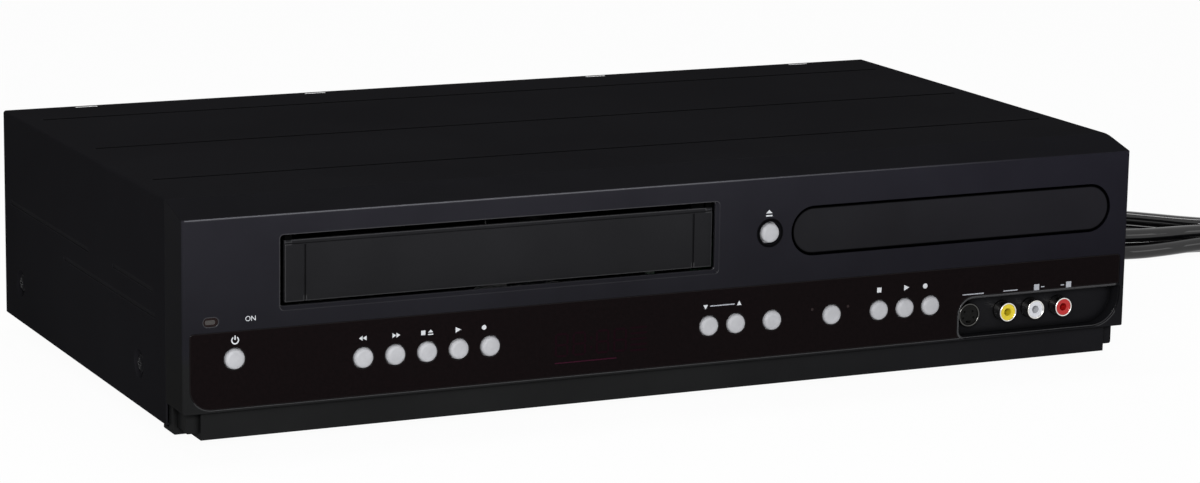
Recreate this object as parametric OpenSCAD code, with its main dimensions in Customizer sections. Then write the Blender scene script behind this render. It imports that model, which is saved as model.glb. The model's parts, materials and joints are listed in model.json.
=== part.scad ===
// Disc and cassette combination player, built as an assembly of separate pieces.
// Millimetres. X runs across the front, Y runs from the front to the back, Z is up from the floor.

/* [Case] */
// Overall width of the case
body_w = 435; // [400:1:480]
// Depth from the front face to the rear edge of the cover
body_d = 238; // [220:1:270]
// Height of the cover above the floor
body_h = 99.4; // [90:0.2:112]
// Thickness of the steel cover and the rear panel
sheet_t = 0.8; // [0.6:0.1:1.0]
// Thickness of the steel base pan
pan_t = 1; // [0.8:0.1:1.4]
// Underside of the base pan above the floor
pan_z = 8; // [7:0.2:9]
// Width of a pressed groove
groove_w = 2.4; // [1.6:0.2:4]
// Depth of a pressed groove
groove_deep = 0.35; // [0.2:0.05:0.45]
// Diameter of a foot
foot_d = 22; // [16:1:30]

/* [Front panel] */
// Wall thickness of the moulded front panel
bezel_wall = 2.5; // [2.2:0.1:3]
// Depth of the front panel's top and side returns
bezel_depth = 20; // [19:0.5:21]
// Rise of the sloped strip between the front face and the cover
top_slope = 5; // [3:0.5:7]
// Lower edge of the front face above the floor
bezel_low = 16.9; // [16:0.1:17.4]
// Lower edge of the plinth above the floor
plinth_z = 5.5; // [4.5:0.1:6]
// Distance that each end of the plinth is set in from the side of the case
plinth_inset = 8.25; // [7.75:0.25:12]
// Distance that the plinth is set back from the front face
plinth_back = 2.5; // [2:0.1:3.5]

/* [Window and buttons] */
// Thickness of the smoked window
window_t = 1.5; // [1.2:0.1:1.6]
// Lower edge of the window above the floor
window_low = 18.1; // [17.9:0.1:18.6]
// Diameter of a push button
button_d = 8.3; // [7:0.1:9]
// Height that a button stands proud of the front face
button_proud = 1.3; // [1:0.1:2]
// Clearance around a button
button_gap = 0.35; // [0.2:0.05:0.5]
// Spacing of the five cassette buttons
tape_pitch = 13.8; // [13:0.1:14.4]
// Spacing of the tracking and disc buttons
short_pitch = 12.6; // [11.8:0.1:13]

/* [Cassette side] */
// Width of the cassette that goes in
cassette_w = 188; // [186:0.5:189]
// Thickness of the cassette that goes in
cassette_h = 25; // [24.5:0.1:25.2]
// Height of the cassette door
door_h = 24.8; // [24.6:0.1:25.1]
// Thickness of the cassette door
door_t = 2.2; // [1.8:0.1:2.4]
// Thickness of the deck plate
deck_t = 1.2; // [1:0.1:1.4]
// Diameter of the head drum
drum_d = 62; // [60:0.5:63]
// Tilt of the head drum in degrees
drum_tilt = 5; // [4:0.5:6]
// Distance between the two reel spindles
reel_gap = 95; // [93:0.5:97]
// Diameter of a reel table
reel_d = 48; // [42:1:50]

/* [Disc side] */
// Width of the tray front
tray_front_w = 155.5; // [153:0.5:157]
// Height of the tray front
tray_front_h = 19.3; // [18.6:0.1:19.6]
// Gap around the tray front
tray_gap = 1; // [0.6:0.1:1.2]
// Width of the tray
tray_w = 147; // [145:0.5:148]
// Diameter of the disc recess
disc_d = 121; // [120.5:0.5:123]
// Teeth of the tray gear, one millimetre module
gear_teeth = 18; // [16:1:20]

/* [Jacks and cord] */
// Diameter of a jack barrel
jack_d = 8.3; // [8:0.1:8.6]
// Spacing of the three round front jacks
jack_pitch = 14.1; // [13.5:0.1:14.6]
// Depth of the front jack pocket
pocket_deep = 7; // [6:0.5:8]
// Diameter of the mains cord
cord_d = 7; // [6:0.5:7]

/* [Hidden] */
$fn = 48;

// Small distances
eps = 0.01;        // makes one solid of two that are drawn against each other
seat_gap = 0.3;    // between a piece and the seat that it could rub on
slide_gap = 0.4;   // beside a sliding piece
shaft_gap = 0.05;  // round a shaft in its bearing
press_gap = 0.15;  // round a panel in its recess

// The origin is under the middle of the case, its buttons and its rear jacks included
rear_proud = 8;
face_y = -(body_d + rear_proud - button_proud) / 2;

// Places across and up the front are stated for a case of this width and height, and move with it
drawn_w = 435;
drawn_h = 99.4;
function over_w(x) = x * body_w / drawn_w;
function over_h(z) = z * body_h / drawn_h;

// Case
half_w = body_w / 2;
dimple_deep = 1.8;
cover_low = pan_z + 0.4;
cover_y = bezel_depth + 0.1;
pan_half = half_w - sheet_t - dimple_deep - 0.2;
rear_out = body_d - 0.6;
rear_in = rear_out - sheet_t;
groove_pitch = (body_d - 16) / 3;
groove_y = body_d - 29 - 2 * groove_pitch;
groove_half = half_w - 9;
screw_z = 26;
screw_y = [53.4, body_d - 22.6];
screw_r = 1.9;
foot_inset = [32, 40];
tab_x = [over_w(71), over_w(180)];
tab_w = 10;

// The door and the tray share out the room that they leave across the front
door_w = cassette_w + 0.5;
spare_w = body_w - door_w - tray_front_w;
left_room = 0.46703 * spare_w;
right_room = 0.11374 * spare_w;
tape_x = -half_w + left_room + door_w / 2;
tray_x = half_w - right_room - tray_front_w / 2;
tray_z = over_h(70.6);

// Front panel
face_top = body_h - top_slope;
plinth_w = body_w - 2 * plinth_inset;
tab_z = plinth_z + 2.4;
toe_y = [15, bezel_depth + 6.5];
corner_r = 1.2;
mouth_gap = 1;
door_shift = 1.1;
door_x0 = tape_x - door_w / 2 + door_shift;
door_x1 = door_x0 + door_w;
door_z = over_h(58.3);
door_top = door_z + door_h;
door_face = 2.8;
hinge_y = door_face + door_t / 2;
pin_r = 1.2;
spring_r = pin_r + 1.15;
mouth_z0 = door_z - mouth_gap;
mouth_z1 = door_top + 3;
mouth_x = [door_x0 - 3.1, door_x1 + 0.7];
ledge = [1.5, 1.6];  // how far the bevel opens the mouth, to the right and downwards
ledge_y = 1.2;       // how deep it goes
holder_y0 = 32;      // the holder's front edge, which the open door clears
hinge_z = door_z + holder_y0 - hinge_y - 0.4;
window_gap = 0.2;
window_half = half_w - 3;
window_top = over_h(49);
window_r = 9;
board_y = 14;
board_t = 1.6;
switch_y = 9;
flange_y = bezel_wall + 0.2;
stem_y = switch_y - 0.9;
lens_x = -half_w + 11.7;
lens_z = over_h(53.4);
display_x = over_w(-36);
display_h = 0.615 * (window_top - window_low);
display_z = (window_low + window_top) / 2 - 2.05;

// Button centres
row_z = over_h(33.6);
power_at = [-half_w + 21.6, over_h(37.9)];
tape_row_x = over_w(-141.6);
tracking_x = over_w(12.9);
dubbing_x = over_w(42.6);
source_x = over_w(71.1);
disc_row_x = over_w(94);
eject_at = [tray_x - tray_front_w / 2 - 11.15, tray_z + 0.5];
window_buttons = concat(
  [power_at],
  [for (i = [0:4]) [tape_row_x + i * tape_pitch, row_z]],
  [for (i = [0:1]) [tracking_x + i * short_pitch, row_z]],
  [[dubbing_x, row_z], [source_x, row_z]],
  [for (i = [0:2]) [disc_row_x + i * short_pitch, row_z]]
);

// Front jacks and their pocket
svideo_x = over_w(140.4);
rca_x = over_w(159.1);
jack_z = over_h(27.1);
pocket_x0 = svideo_x - 6.4;
pocket_x1 = half_w - bezel_wall - 0.3;
pocket_z0 = window_low - 0.1;
pocket_z1 = over_h(34.9);

// Disc loader
frame_wall = 2.5;
frame_half = tray_w / 2 + slide_gap + frame_wall;
frame_z = tray_z - 16.6;
frame_floor = 2;
frame_y0 = 14;
frame_y1 = 190;
frame_top = tray_z + 9.4;
plate_z = tray_z - 4.6;
plate_top = tray_z + 0.4;
tray_y0 = 6;
tray_y1 = 176;
disc_y = 84;
slot_w = 36;
gear_module = 1;
gear_r = gear_teeth * gear_module / 2;
rack_x = tray_x - 49.4;
gear_x = rack_x - gear_r;
gear_y = 30;
gear_z = tray_z - 9.6;
motor_x = gear_x - 4;
motor_y = 64;
pulley_r = 3.5;
wheel_r = 8;
belt_z = tray_z - 12.6;
hinge_rear_y = 170;
traverse_z = tray_z - 13.6;
pivot_r = 2;
rod_r = 1.5;
rod_x = 17;
table_r = 15;
clamp_z = tray_z + 2.4;
clamp_seat = frame_top + 1 + seat_gap - clamp_z;

// Tape deck
deck_x0 = tape_x - 105;
deck_x1 = tape_x + 105;
deck_y0 = 24;
deck_y1 = rear_in - 12;
post = 10;
deck_posts = [for (x = [deck_x0 + 6, deck_x1 - 6], y = [34, deck_y1 - 8]) [x, y]];
loader_posts = [for (x = [tray_x - 71.4, tray_x + 71.6], y = [24, 182]) [x, y]];
reel_y = 80;
drum_at = [tape_x, body_d - 56];
drum_r = drum_d / 2;
capstan_at = [tape_x + 58.75, 152];
capstan_r = 1.5;
roller_r = 7;
pinch_at = [tape_x + 88.75, 176];
pinch_len = 32;
pinch_rest = -106.5;
roller_at = pinch_at + pinch_len * [cos(pinch_rest), sin(pinch_rest)];
holder_half = cassette_w / 2 + 1;
holder_wall = 0.8;
holder_y1 = 100;
arm_half = holder_half + holder_wall + 0.8;
arm_t = 1;
rail_half = arm_half + arm_t + 0.8;
rail_t = 1;
holder_z = mouth_z0 - 1.3;
holder_drop = 22;
holder_in = drum_at[1] - drum_r - 17 - holder_y1;
guide_z = holder_z + 28;
rail_y = [30, holder_in + 108];
deck_z = holder_z - holder_drop - 2.8;

// Boards and rear jacks
board_z = 14;
housing_y = rear_in - 10;
rear_rows = [66, 50, 34];
rear_cols = [over_w(-150), over_w(-134), over_w(-112)];
antenna_x = over_w(-190);
coax_x = over_w(-90);
hdmi_x = over_w(-60);
vent_x = over_w(11);
board_x = [-pan_half + 9.7, pan_half - 18.7];
stand_offs = [for (x = [-190, -60, 46, 180], y = [60, rear_in - 26.6]) [over_w(x), y]];

// Mains cord
cord_r = cord_d / 2;
cord_x = 184;
cord_z = 32;
relief_len = 26;
hank_at = [402, 186];
hank_turn = -25.6;
hank_turns_wide = 2;
hank_layers = 2;
hank_fold = 3 * cord_d;
hank_len = 27 * cord_d;
hank_w = 2 * (hank_fold + (hank_turns_wide - 0.5) * cord_d);
hank_h = hank_layers * cord_d;
hank_axis = [cos(hank_turn), sin(hank_turn)];
hank_side = [-sin(hank_turn), cos(hank_turn)];
plug_at = hank_at - (hank_len - hank_w) / 2 * hank_axis - (hank_w - cord_d) / 2 * hank_side;
// Route from the strain relief down to the floor and along it to the hank
cord_route = [
  [184, 263, 32], [184, 272, 31.5], [184.5, 281, 29], [186, 290, 24], [189, 298, 17.5],
  [194, 305, 11], [201, 310.5, 6], [210, 314, 3.6], [222, 315, 3.5], [236, 312.5, 3.5],
  [250, 307, 3.5], [264, 299.5, 3.5], [277, 290.5, 3.5], [289, 281, 3.5], [301, 271.5, 3.5],
  [313, 262.5, 3.5], [326, 254.2, 3.5], [344.3, 244.7, 3.5]
];

// Geometry helpers
module from_face() translate([0, face_y, 0]) children();

module block(x, y, z)
  translate([x[0], y[0], z[0]]) cube([x[1] - x[0], y[1] - y[0], z[1] - z[0]]);

module rod_x(y, z, x0, x1, r) translate([x0, y, z]) rotate([0, 90, 0]) cylinder(h = x1 - x0, r = r);

module rod_y(x, z, y0, y1, r) translate([x, y0, z]) rotate([-90, 0, 0]) cylinder(h = y1 - y0, r = r);

module rod_z(at, z0, z1, r) translate([at[0], at[1], z0]) cylinder(h = z1 - z0, r = r);

// A flat outline in X and Z, made solid from y0 to y1
module slab_y(y0, y1) translate([0, y1, 0]) rotate([90, 0, 0]) linear_extrude(y1 - y0) children();

// A profile in Y and Z, made solid from x0 to x1
module slab_x(x0, x1) translate([x0, 0, 0]) rotate([90, 0, 90]) linear_extrude(x1 - x0) children();

function arc(cx, cy, r, a0, a1, n = 8) =
  [for (i = [0:n]) [cx + r * cos(a0 + (a1 - a0) * i / n), cy + r * sin(a0 + (a1 - a0) * i / n)]];

// A rectangle with round corners between two corners a and b
module round_rect(a, b, r)
  polygon(concat(
    arc(b[0] - r, b[1] - r, r, 0, 90), arc(a[0] + r, b[1] - r, r, 90, 180),
    arc(a[0] + r, a[1] + r, r, 180, 270), arc(b[0] - r, a[1] + r, r, 270, 360)
  ));

module stadium(x, z, w, h) {
  translate([x - (w - h) / 2, z - h / 2]) square([w - h, h]);
  for (s = [-1, 1]) translate([x + s * (w - h) / 2, z]) circle(d = h);
}

module both_sides() for (s = [0, 1]) mirror([s, 0, 0]) children();

// ---- Casing ----

module dimple_cut() {
  for (y = screw_y) {
    translate([half_w - dimple_deep, y, screw_z]) rotate([0, 90, 0])
      cylinder(h = dimple_deep + eps, r1 = 4.4, r2 = 6);
    rod_x(y, screw_z, half_w - 5, half_w, screw_r + 0.3);
  }
}

module cover_profile() {
  difference() {
    round_rect([-half_w, cover_low - 3], [half_w, body_h], corner_r);
    translate([-half_w + sheet_t, 0]) square([body_w - 2 * sheet_t, body_h - sheet_t]);
    translate([-half_w, 0]) square([body_w, cover_low]);
  }
  both_sides() translate([pan_half + 0.2, cover_low])
    square([half_w - sheet_t - pan_half, sheet_t]);
}

module top_cover() color("#16161a") from_face() {
  difference() {
    union() {
      slab_y(cover_y, body_d) cover_profile();
      both_sides() for (y = screw_y)
        rod_x(y, screw_z, pan_half + 0.2, half_w - sheet_t + eps, 6.6);
    }
    for (i = [0:2]) {
      y = groove_y + i * groove_pitch;
      block([-groove_half, groove_half], [y - groove_w / 2, y + groove_w / 2],
        [body_h - groove_deep, body_h + 1]);
    }
    both_sides() {
      dimple_cut();
      for (x = tab_x)
        block([x - tab_w / 2 - 1, x + tab_w / 2 + 1], [rear_in - 2, rear_in + 0.6],
          [body_h - 2, body_h + 1]);
      block([half_w - groove_deep, half_w + 1], [35, 86], [59, 60.6]);
      block([half_w - groove_deep, half_w + 1], [118, body_d - 9], [59, 60.6]);
      block([half_w - groove_deep, half_w + 1], [33, 152], [49, 50.6]);
    }
  }
}

module pan_slots() {
  for (i = [0:9], j = [0, 1])
    block([-150 + i * 12 + j * 180, -145 + i * 12 + j * 180], [120, 150], [pan_z - 1, pan_z + 3]);
}

module base_pan() color("#8d9094") from_face() {
  floor_z = [pan_z, pan_z + pan_t];
  difference() {
    union() {
      block([-pan_half, pan_half], [bezel_depth + 0.3, rear_in - 0.1], floor_z);
      block([-pan_half + 14.7, pan_half - 14.7], [plinth_back + bezel_wall + 0.3, bezel_depth + 1],
        floor_z);
      both_sides() block([pan_half - pan_t, pan_half], [bezel_depth + 0.3, rear_in - 0.1],
        [pan_z, screw_z + 8]);
      for (p = deck_posts)
        block([p[0] - post / 2, p[0] + post / 2], [p[1] - post / 2, p[1] + post / 2],
          [pan_z, deck_z - deck_t]);
      for (p = loader_posts)
        block([p[0] - 4, p[0] + 4], [p[1] - 4, p[1] + 4], [pan_z, frame_z]);
      for (p = stand_offs) rod_z(p, pan_z, board_z, 3);
    }
    pan_slots();
    both_sides() for (y = screw_y)
      rod_x(y, screw_z, pan_half - 3, pan_half + 1, screw_r + 0.08);
  }
}

module jack_grid() for (x = rear_cols, z = rear_rows) translate([x, z]) children();

module rear_panel() color("#1b1b1e") from_face() {
  difference() {
    union() {
      block([-pan_half, pan_half], [rear_in, rear_out], [pan_z, body_h - sheet_t - 0.3]);
      block([-pan_half, pan_half], [rear_in - 8, rear_out],
        [body_h - 2 * sheet_t - 0.3, body_h - sheet_t - 0.3]);
      both_sides() for (x = tab_x)
        block([x - tab_w / 2, x + tab_w / 2], [rear_in - 1.4, rear_in - 0.4],
          [body_h - sheet_t - 1, body_h - 0.2]);
    }
    slab_y(rear_in - 1, rear_out + 1) {
      jack_grid() circle(d = jack_d + 0.6);
      for (z = [38, 60]) translate([antenna_x, z]) circle(d = 10);
      translate([coax_x, 34]) circle(d = jack_d + 0.6);
      translate([coax_x, 60]) circle(d = 10.6);
      round_rect([hdmi_x - 8, 31], [hdmi_x + 8, 37], 1);
      translate([cord_x, cord_z]) circle(d = 12.6);
      for (i = [0:11]) translate([vent_x + i * 10, 64]) rotate(90) stadium(0, 0, 40, 3);
    }
  }
}

module foot_places()
  both_sides() for (y = [foot_inset[1], body_d - foot_inset[0]])
    translate([half_w - foot_inset[0], y, 0]) children();

module feet() color("#202022") from_face()
  foot_places() rotate_extrude()
    polygon([[0, 0], [foot_d / 2 - 2.5, 0], [foot_d / 2 - 1.5, 0.6], [foot_d / 2, pan_z],
      [0, pan_z]]);

module cover_screws() color("#8f9397") from_face()
  both_sides() for (y = screw_y) {
    translate([half_w - dimple_deep, y, screw_z]) rotate([0, 90, 0]) difference() {
      rotate_extrude() polygon([[0, 0], [3.7, 0], [3.6, 0.9], [2.4, 1.5], [0, 1.6]]);
      for (a = [0, 90]) rotate([0, 0, a]) translate([-1.9, -0.4, 0.7]) cube([3.8, 0.8, 2]);
    }
    rod_x(y, screw_z, half_w - dimple_deep - 8, half_w - dimple_deep + eps, screw_r);
  }

// ---- Front panel ----

module pocket_shape(g = 0)
  polygon(concat(
    arc(pocket_x0 + 7, pocket_z1 - 7, 7 + g, 90, 180),
    arc(pocket_x0 + 3, pocket_z0 + 3, 3 + g, 180, 270),
    arc(pocket_x1 - 13, pocket_z0 + 13, 13 + g, 270, 360, 16),
    arc(pocket_x1 - 1, pocket_z1 - 1, 1 + g, 0, 90)
  ));

module window_shape(g = 0)
  difference() {
    polygon(concat(
      arc(window_half - 1.5, window_top - 1.5, 1.5 + g, 0, 90),
      arc(-window_half + 1.5, window_top - 1.5, 1.5 + g, 90, 180),
      arc(-window_half + window_r, window_low + window_r, window_r + g, 180, 270, 14),
      arc(window_half - 1.5, window_low + 1.5, 1.5 + g, 270, 360)
    ));
    pocket_shape(1.2 - g);
    translate([pocket_x0 + 5, window_low - 3]) square([100, pocket_z1 - window_low]);
  }

module bezel_body() {
  difference() {
    intersection() {
      slab_x(-half_w, half_w)
        polygon(concat(
          [[0, bezel_low]], arc(0.8, face_top - 0.7, 0.8, 180, 105, 4),
          [[bezel_depth, body_h], [bezel_depth, bezel_low]]
        ));
      translate([0, 0, -1]) linear_extrude(body_h + 2)
        polygon(concat(
          arc(half_w - corner_r, corner_r, corner_r, 270, 360, 4), [[half_w, bezel_depth]],
          [[-half_w, bezel_depth]], arc(-half_w + corner_r, corner_r, corner_r, 180, 270, 4)
        ));
      slab_y(-1, bezel_depth + 1)
        round_rect([-half_w, bezel_low], [half_w, body_h], corner_r);
    }
    slab_x(-half_w + bezel_wall, half_w - bezel_wall)
      polygon([
        [bezel_wall, bezel_low + 1], [bezel_wall, face_top - 2], [bezel_depth + 1, body_h - 2.2],
        [bezel_depth + 1, bezel_low + 1]
      ]);
    block([-half_w + bezel_wall, half_w - bezel_wall],
      [plinth_back + bezel_wall, bezel_depth + 1], [bezel_low - 1, bezel_low + 2]);
  }
}

module plinth() {
  difference() {
    block([-plinth_w / 2, plinth_w / 2], [plinth_back, bezel_depth],
      [plinth_z, bezel_low + 1.5]);
    block([-plinth_w / 2 + 2, plinth_w / 2 - 2], [plinth_back + bezel_wall, bezel_depth + 1],
      [plinth_z + 2, bezel_low + 3]);
  }
  both_sides() {
    slab_y(5, bezel_depth)
      round_rect([plinth_w / 2 - 1, tab_z], [plinth_w / 2 + 5.4, bezel_low + 1.5], 1);
    slab_y(toe_y[0], bezel_depth)
      round_rect([plinth_w / 2 - 1, plinth_z], [half_w - 1.2, bezel_low + 1.5], 1);
    slab_y(toe_y[0], toe_y[1])
      round_rect([plinth_w / 2 - 1, plinth_z], [half_w - 1.2, pan_z - seat_gap], 0.8);
  }
}

module door_lugs()
  for (x = [[door_x0 - 6.5, door_x0 - 3.6], [door_x1 + 2.6, door_x1 + 5.5]])
    block(x, [bezel_wall - 0.5, hinge_y + 3], [hinge_z - 3, hinge_z + 3]);

module board_bosses() {
  for (x = [(power_at[0] + tape_row_x) / 2, display_x - 36, display_x + 38,
      (dubbing_x + source_x) / 2, pocket_x0 - 9])
    rod_y(x, window_low + 4.9, bezel_wall - 0.5, board_y, 2.6);
  for (s = [-1, 1]) rod_y(eject_at[0], eject_at[1] + s * 8.6, bezel_wall - 0.5, board_y, 1.9);
}

// Straight through the panel, and opened by a bevel below and at the right
module cassette_mouth() {
  out = 1.25;  // carries the bevel on, a quarter of its depth in front of the face
  slab_y(-1, bezel_wall + 1)
    round_rect([mouth_x[0], mouth_z0], [mouth_x[1], mouth_z1], 1.5);
  intersection() {
    slab_x(mouth_x[0] - 1, mouth_x[1] + 3)
      polygon([
        [ledge_y, mouth_z0], [ledge_y, mouth_z1], [ledge_y * (1 - out), mouth_z1],
        [ledge_y * (1 - out), mouth_z0 - ledge[1] * out]
      ]);
    translate([0, 0, mouth_z0 - 5]) linear_extrude(mouth_z1 - mouth_z0 + 10)
      polygon([
        [mouth_x[0], ledge_y], [mouth_x[1], ledge_y],
        [mouth_x[1] + ledge[0] * out, ledge_y * (1 - out)], [mouth_x[0], ledge_y * (1 - out)]
      ]);
    slab_y(-1, ledge_y + 1)
      round_rect([mouth_x[0], mouth_z0 - ledge[1]], [mouth_x[1] + ledge[0], mouth_z1], 2);
  }
}

module front_bezel() color("#1a1b20") from_face() {
  difference() {
    union() {
      bezel_body();
      plinth();
      door_lugs();
      board_bosses();
      slab_y(bezel_wall - 0.5, 9)
        stadium(tray_x, tray_z, tray_front_w + 2 * tray_gap + 3, tray_front_h + 2 * tray_gap + 3);
      slab_y(bezel_wall - 0.5, pocket_deep + 1.5) pocket_shape(1.4);
    }
    cassette_mouth();
    rod_x(hinge_y, hinge_z, door_x0 - 7, door_x1 + 6, pin_r + 0.08);
    rod_x(hinge_y, hinge_z, door_x0 - 12.4, door_x0 - 6.5, spring_r + seat_gap);
    slab_y(-1, window_t + window_gap) window_shape(press_gap);
    slab_y(-1, bezel_wall + 1) {
      for (p = window_buttons) translate(p) circle(d = button_d + 2 * button_gap);
      translate(eject_at) circle(d = button_d + 2 * button_gap + 0.6);
      round_rect([display_x - 31, display_z - display_h / 2 - 1],
        [display_x + 31, display_z + display_h / 2 + 1], 1);
      stadium(lens_x, lens_z, 6.2, 3.6);
    }
    slab_y(-1, 10)
      stadium(tray_x, tray_z, tray_front_w + 2 * tray_gap, tray_front_h + 2 * tray_gap);
    slab_y(-1, pocket_deep) pocket_shape();
    slab_y(-1, 0.7) pocket_shape(0.5);
    slab_y(pocket_deep - 1, pocket_deep + 3) {
      for (i = [0:2]) translate([rca_x + i * jack_pitch, jack_z]) circle(d = jack_d + 0.4);
      translate([svideo_x, jack_z]) circle(d = 10.6);
    }
  }
}

module display_window() color("#1c0c0c", 0.9) from_face()
  difference() {
    slab_y(window_gap, window_gap + window_t) window_shape();
    slab_y(-1, bezel_wall + 1)
      for (p = window_buttons) translate(p) circle(d = button_d + 2 * button_gap);
  }

module power_lens() color("#3a0d0d") from_face()
  slab_y(0.2, board_y - 1.2) stadium(lens_x, lens_z, 6.0, 3.4);

module cassette_door() color("#202126") from_face() {
  difference() {
    block([door_x0, door_x1], [door_face, door_face + door_t], [door_z, door_top]);
    block([door_x0 - 1, door_x1 + 1], [door_face - 1, door_face + 0.5], [door_top - 1.6, door_top + 1]);
    for (x = [door_x0 + 8.5, door_x1 - 8.5])
      block([x - 0.4, x + 0.4], [door_face - 1, door_face + 0.5], [door_z - 1, door_top - 2]);
  }
  for (x = [[door_x0, door_x0 + 3], [door_x1 - 3, door_x1]]) {
    block(x, [door_face + 0.2, door_face + door_t - 0.2], [door_top - 1, hinge_z]);
    rod_x(hinge_y, hinge_z, x[0], x[1], pin_r);
  }
  rod_x(hinge_y, hinge_z, door_x0 - 12, door_x0 + eps, pin_r);
  rod_x(hinge_y, hinge_z, door_x1 - eps, door_x1 + 5, pin_r);
}

// Closed coils of the door's return spring, round the end of its left pin
module door_spring() color("#b9bcc0") from_face()
  translate([door_x0 - 11.4, hinge_y, hinge_z]) rotate([0, 90, 0]) rotate_extrude()
    for (i = [0:5]) translate([spring_r - 0.4, 0.4 + 0.75 * i]) circle(r = 0.4, $fn = 16);

// ---- Push buttons ----

module push_button(at) color("#c4c7cc") from_face()
  translate([at[0], -button_proud, at[1]]) rotate([-90, 0, 0]) {
    r = button_d / 2;
    flange = flange_y + button_proud;
    tip = stem_y + button_proud;
    rotate_extrude() polygon([
      [0, 0], [r - 1.4, 0.12], [r - 0.6, 0.35], [r - 0.15, 0.85], [r, 1.4], [r, flange],
      [r + 1, flange], [r + 1, flange + 1], [1.6, flange + 1], [1.6, tip], [0, tip]
    ]);
  }

module power_button() push_button(power_at);
module rewind_button() push_button([tape_row_x, row_z]);
module fast_forward_button() push_button([tape_row_x + tape_pitch, row_z]);
module tape_stop_button() push_button([tape_row_x + 2 * tape_pitch, row_z]);
module tape_play_button() push_button([tape_row_x + 3 * tape_pitch, row_z]);
module tape_record_button() push_button([tape_row_x + 4 * tape_pitch, row_z]);
module tracking_down_button() push_button([tracking_x, row_z]);
module tracking_up_button() push_button([tracking_x + short_pitch, row_z]);
module dubbing_button() push_button([dubbing_x, row_z]);
module source_button() push_button([source_x, row_z]);
module disc_stop_button() push_button([disc_row_x, row_z]);
module disc_play_button() push_button([disc_row_x + short_pitch, row_z]);
module disc_record_button() push_button([disc_row_x + 2 * short_pitch, row_z]);
module disc_eject_button() push_button(eject_at);

// ---- Front board, display and jacks ----

module tact_switch(at) {
  block([at[0] - 3, at[0] + 3], [switch_y + 1, board_y + eps], [at[1] - 3, at[1] + 3]);
  rod_y(at[0], at[1], switch_y, switch_y + 1.5, 1.7);
}

module front_board() color("#2f6b3a") from_face() {
  slab_y(board_y, board_y + board_t) polygon([
    [-half_w + 7.5, window_low + 1.9], [pocket_x0 - 6, window_low + 1.9],
    [pocket_x0 - 6, window_top - 2], [-half_w + 27.5, window_top - 2],
    [-half_w + 27.5, lens_z + 3.6], [-half_w + 7.5, lens_z + 3.6]
  ]);
  for (p = window_buttons) tact_switch(p);
  rod_y(lens_x, lens_z, board_y - 1, board_y + eps, 1.4);
  slab_y(board_y, board_y + board_t)
    round_rect([eject_at[0] - 5.5, eject_at[1] - 10.5], [eject_at[0] + 5.5, eject_at[1] + 10.5], 1);
  tact_switch(eject_at);
}

module display_module() color("#232a2a") from_face() {
  half = display_h / 2;
  block([display_x - 30, display_x + 30], [4, 10], [display_z - half, display_z + half]);
  block([display_x - 26, display_x + 26], [10 - eps, board_y],
    [display_z - half + 2, display_z + half - 2]);
}

module front_jack_block() color("#18181a") from_face() {
  back = pocket_deep + 1.5;
  low = jack_z - 7.1;
  difference() {
    union() {
      block([svideo_x - 7, rca_x + 2 * jack_pitch + 7], [back, back + 13], [low, low + 15.5]);
      rod_y(svideo_x, jack_z, 3.4, back + 1, 4.4);
    }
    for (i = [0:2]) rod_y(rca_x + i * jack_pitch, jack_z, back - 1, back + 9, jack_d / 2 + 0.02);
    for (p = [[-2, 1.4], [2, 1.4], [-2.6, -1.4], [2.6, -1.4]])
      rod_y(svideo_x + p[0], jack_z + p[1], 2, 9, 0.5);
    block([svideo_x - 1.2, svideo_x + 1.2], [2, 8], [jack_z - 3.6, jack_z - 2.6]);
  }
  block([svideo_x - 7, rca_x + 2 * jack_pitch + 7], [back, 40], [low - board_t, low + eps]);
}

module ring_y(at, y0, y1, r_out, r_in)
  difference() {
    rod_y(at[0], at[1], y0, y1, r_out);
    rod_y(at[0], at[1], y0 - 1, y1 + 1, r_in);
  }

module jack_shells() color("#c9ccd0") from_face() {
  for (i = [0:2])
    ring_y([rca_x + i * jack_pitch, jack_z], 1.2, pocket_deep + 10, jack_d / 2, jack_d / 2 - 0.6);
  ring_y([svideo_x, jack_z], 2.6, pocket_deep + 1.5, 5.2, 4.4);
}

module jack_insert(i)
  from_face() ring_y([rca_x + i * jack_pitch, jack_z], 1.8, pocket_deep + 9,
    jack_d / 2 - 0.6, 1.7);

module video_insert() color("#e0b020") jack_insert(0);
module left_insert() color("#e8e8e4") jack_insert(1);
module right_insert() color("#c01c1c") jack_insert(2);

// ---- Disc loader ----

module loader_frame() color("#2a2b2e") from_face() {
  x0 = tray_x - frame_half;
  x1 = tray_x + frame_half;
  difference() {
    union() {
      block([x0, x1], [frame_y0, frame_y1], [frame_z, frame_z + frame_floor]);
      block([x0, x1], [frame_y1 - frame_wall, frame_y1], [frame_z, frame_top]);
      for (x = [[x0, x0 + frame_wall], [x1 - frame_wall, x1]])
        block(x, [frame_y0, frame_y1], [frame_z, frame_top]);
      for (x = [[x0, x0 + frame_wall + 4], [x1 - frame_wall - 4, x1]])
        block(x, [frame_y0, frame_y1 - frame_wall], [frame_z, plate_z - seat_gap]);
      for (x = [[x0, x0 + frame_wall + 3], [x1 - frame_wall - 3, x1]])
        block(x, [frame_y0, frame_y0 + 60], [plate_top + seat_gap, plate_top + 3]);
      rod_z([gear_x, gear_y], frame_z, gear_z + 4.6, 2);
      for (s = [-1, 1])
        block([tray_x + s * 37 - 3, tray_x + s * 37 + 3], [hinge_rear_y - 4, hinge_rear_y + 4],
          [frame_z, traverse_z + 6]);
    }
    block([tray_x - 33, tray_x + 33], [36, hinge_rear_y + 6], [frame_z - 1, frame_z + frame_floor + 1]);
    rod_x(hinge_rear_y, traverse_z + 1.5, tray_x - 41, tray_x + 41, pivot_r + shaft_gap);
    rod_z([motor_x, motor_y], frame_z - 1, frame_z + 3, 2.6);
  }
}

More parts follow.
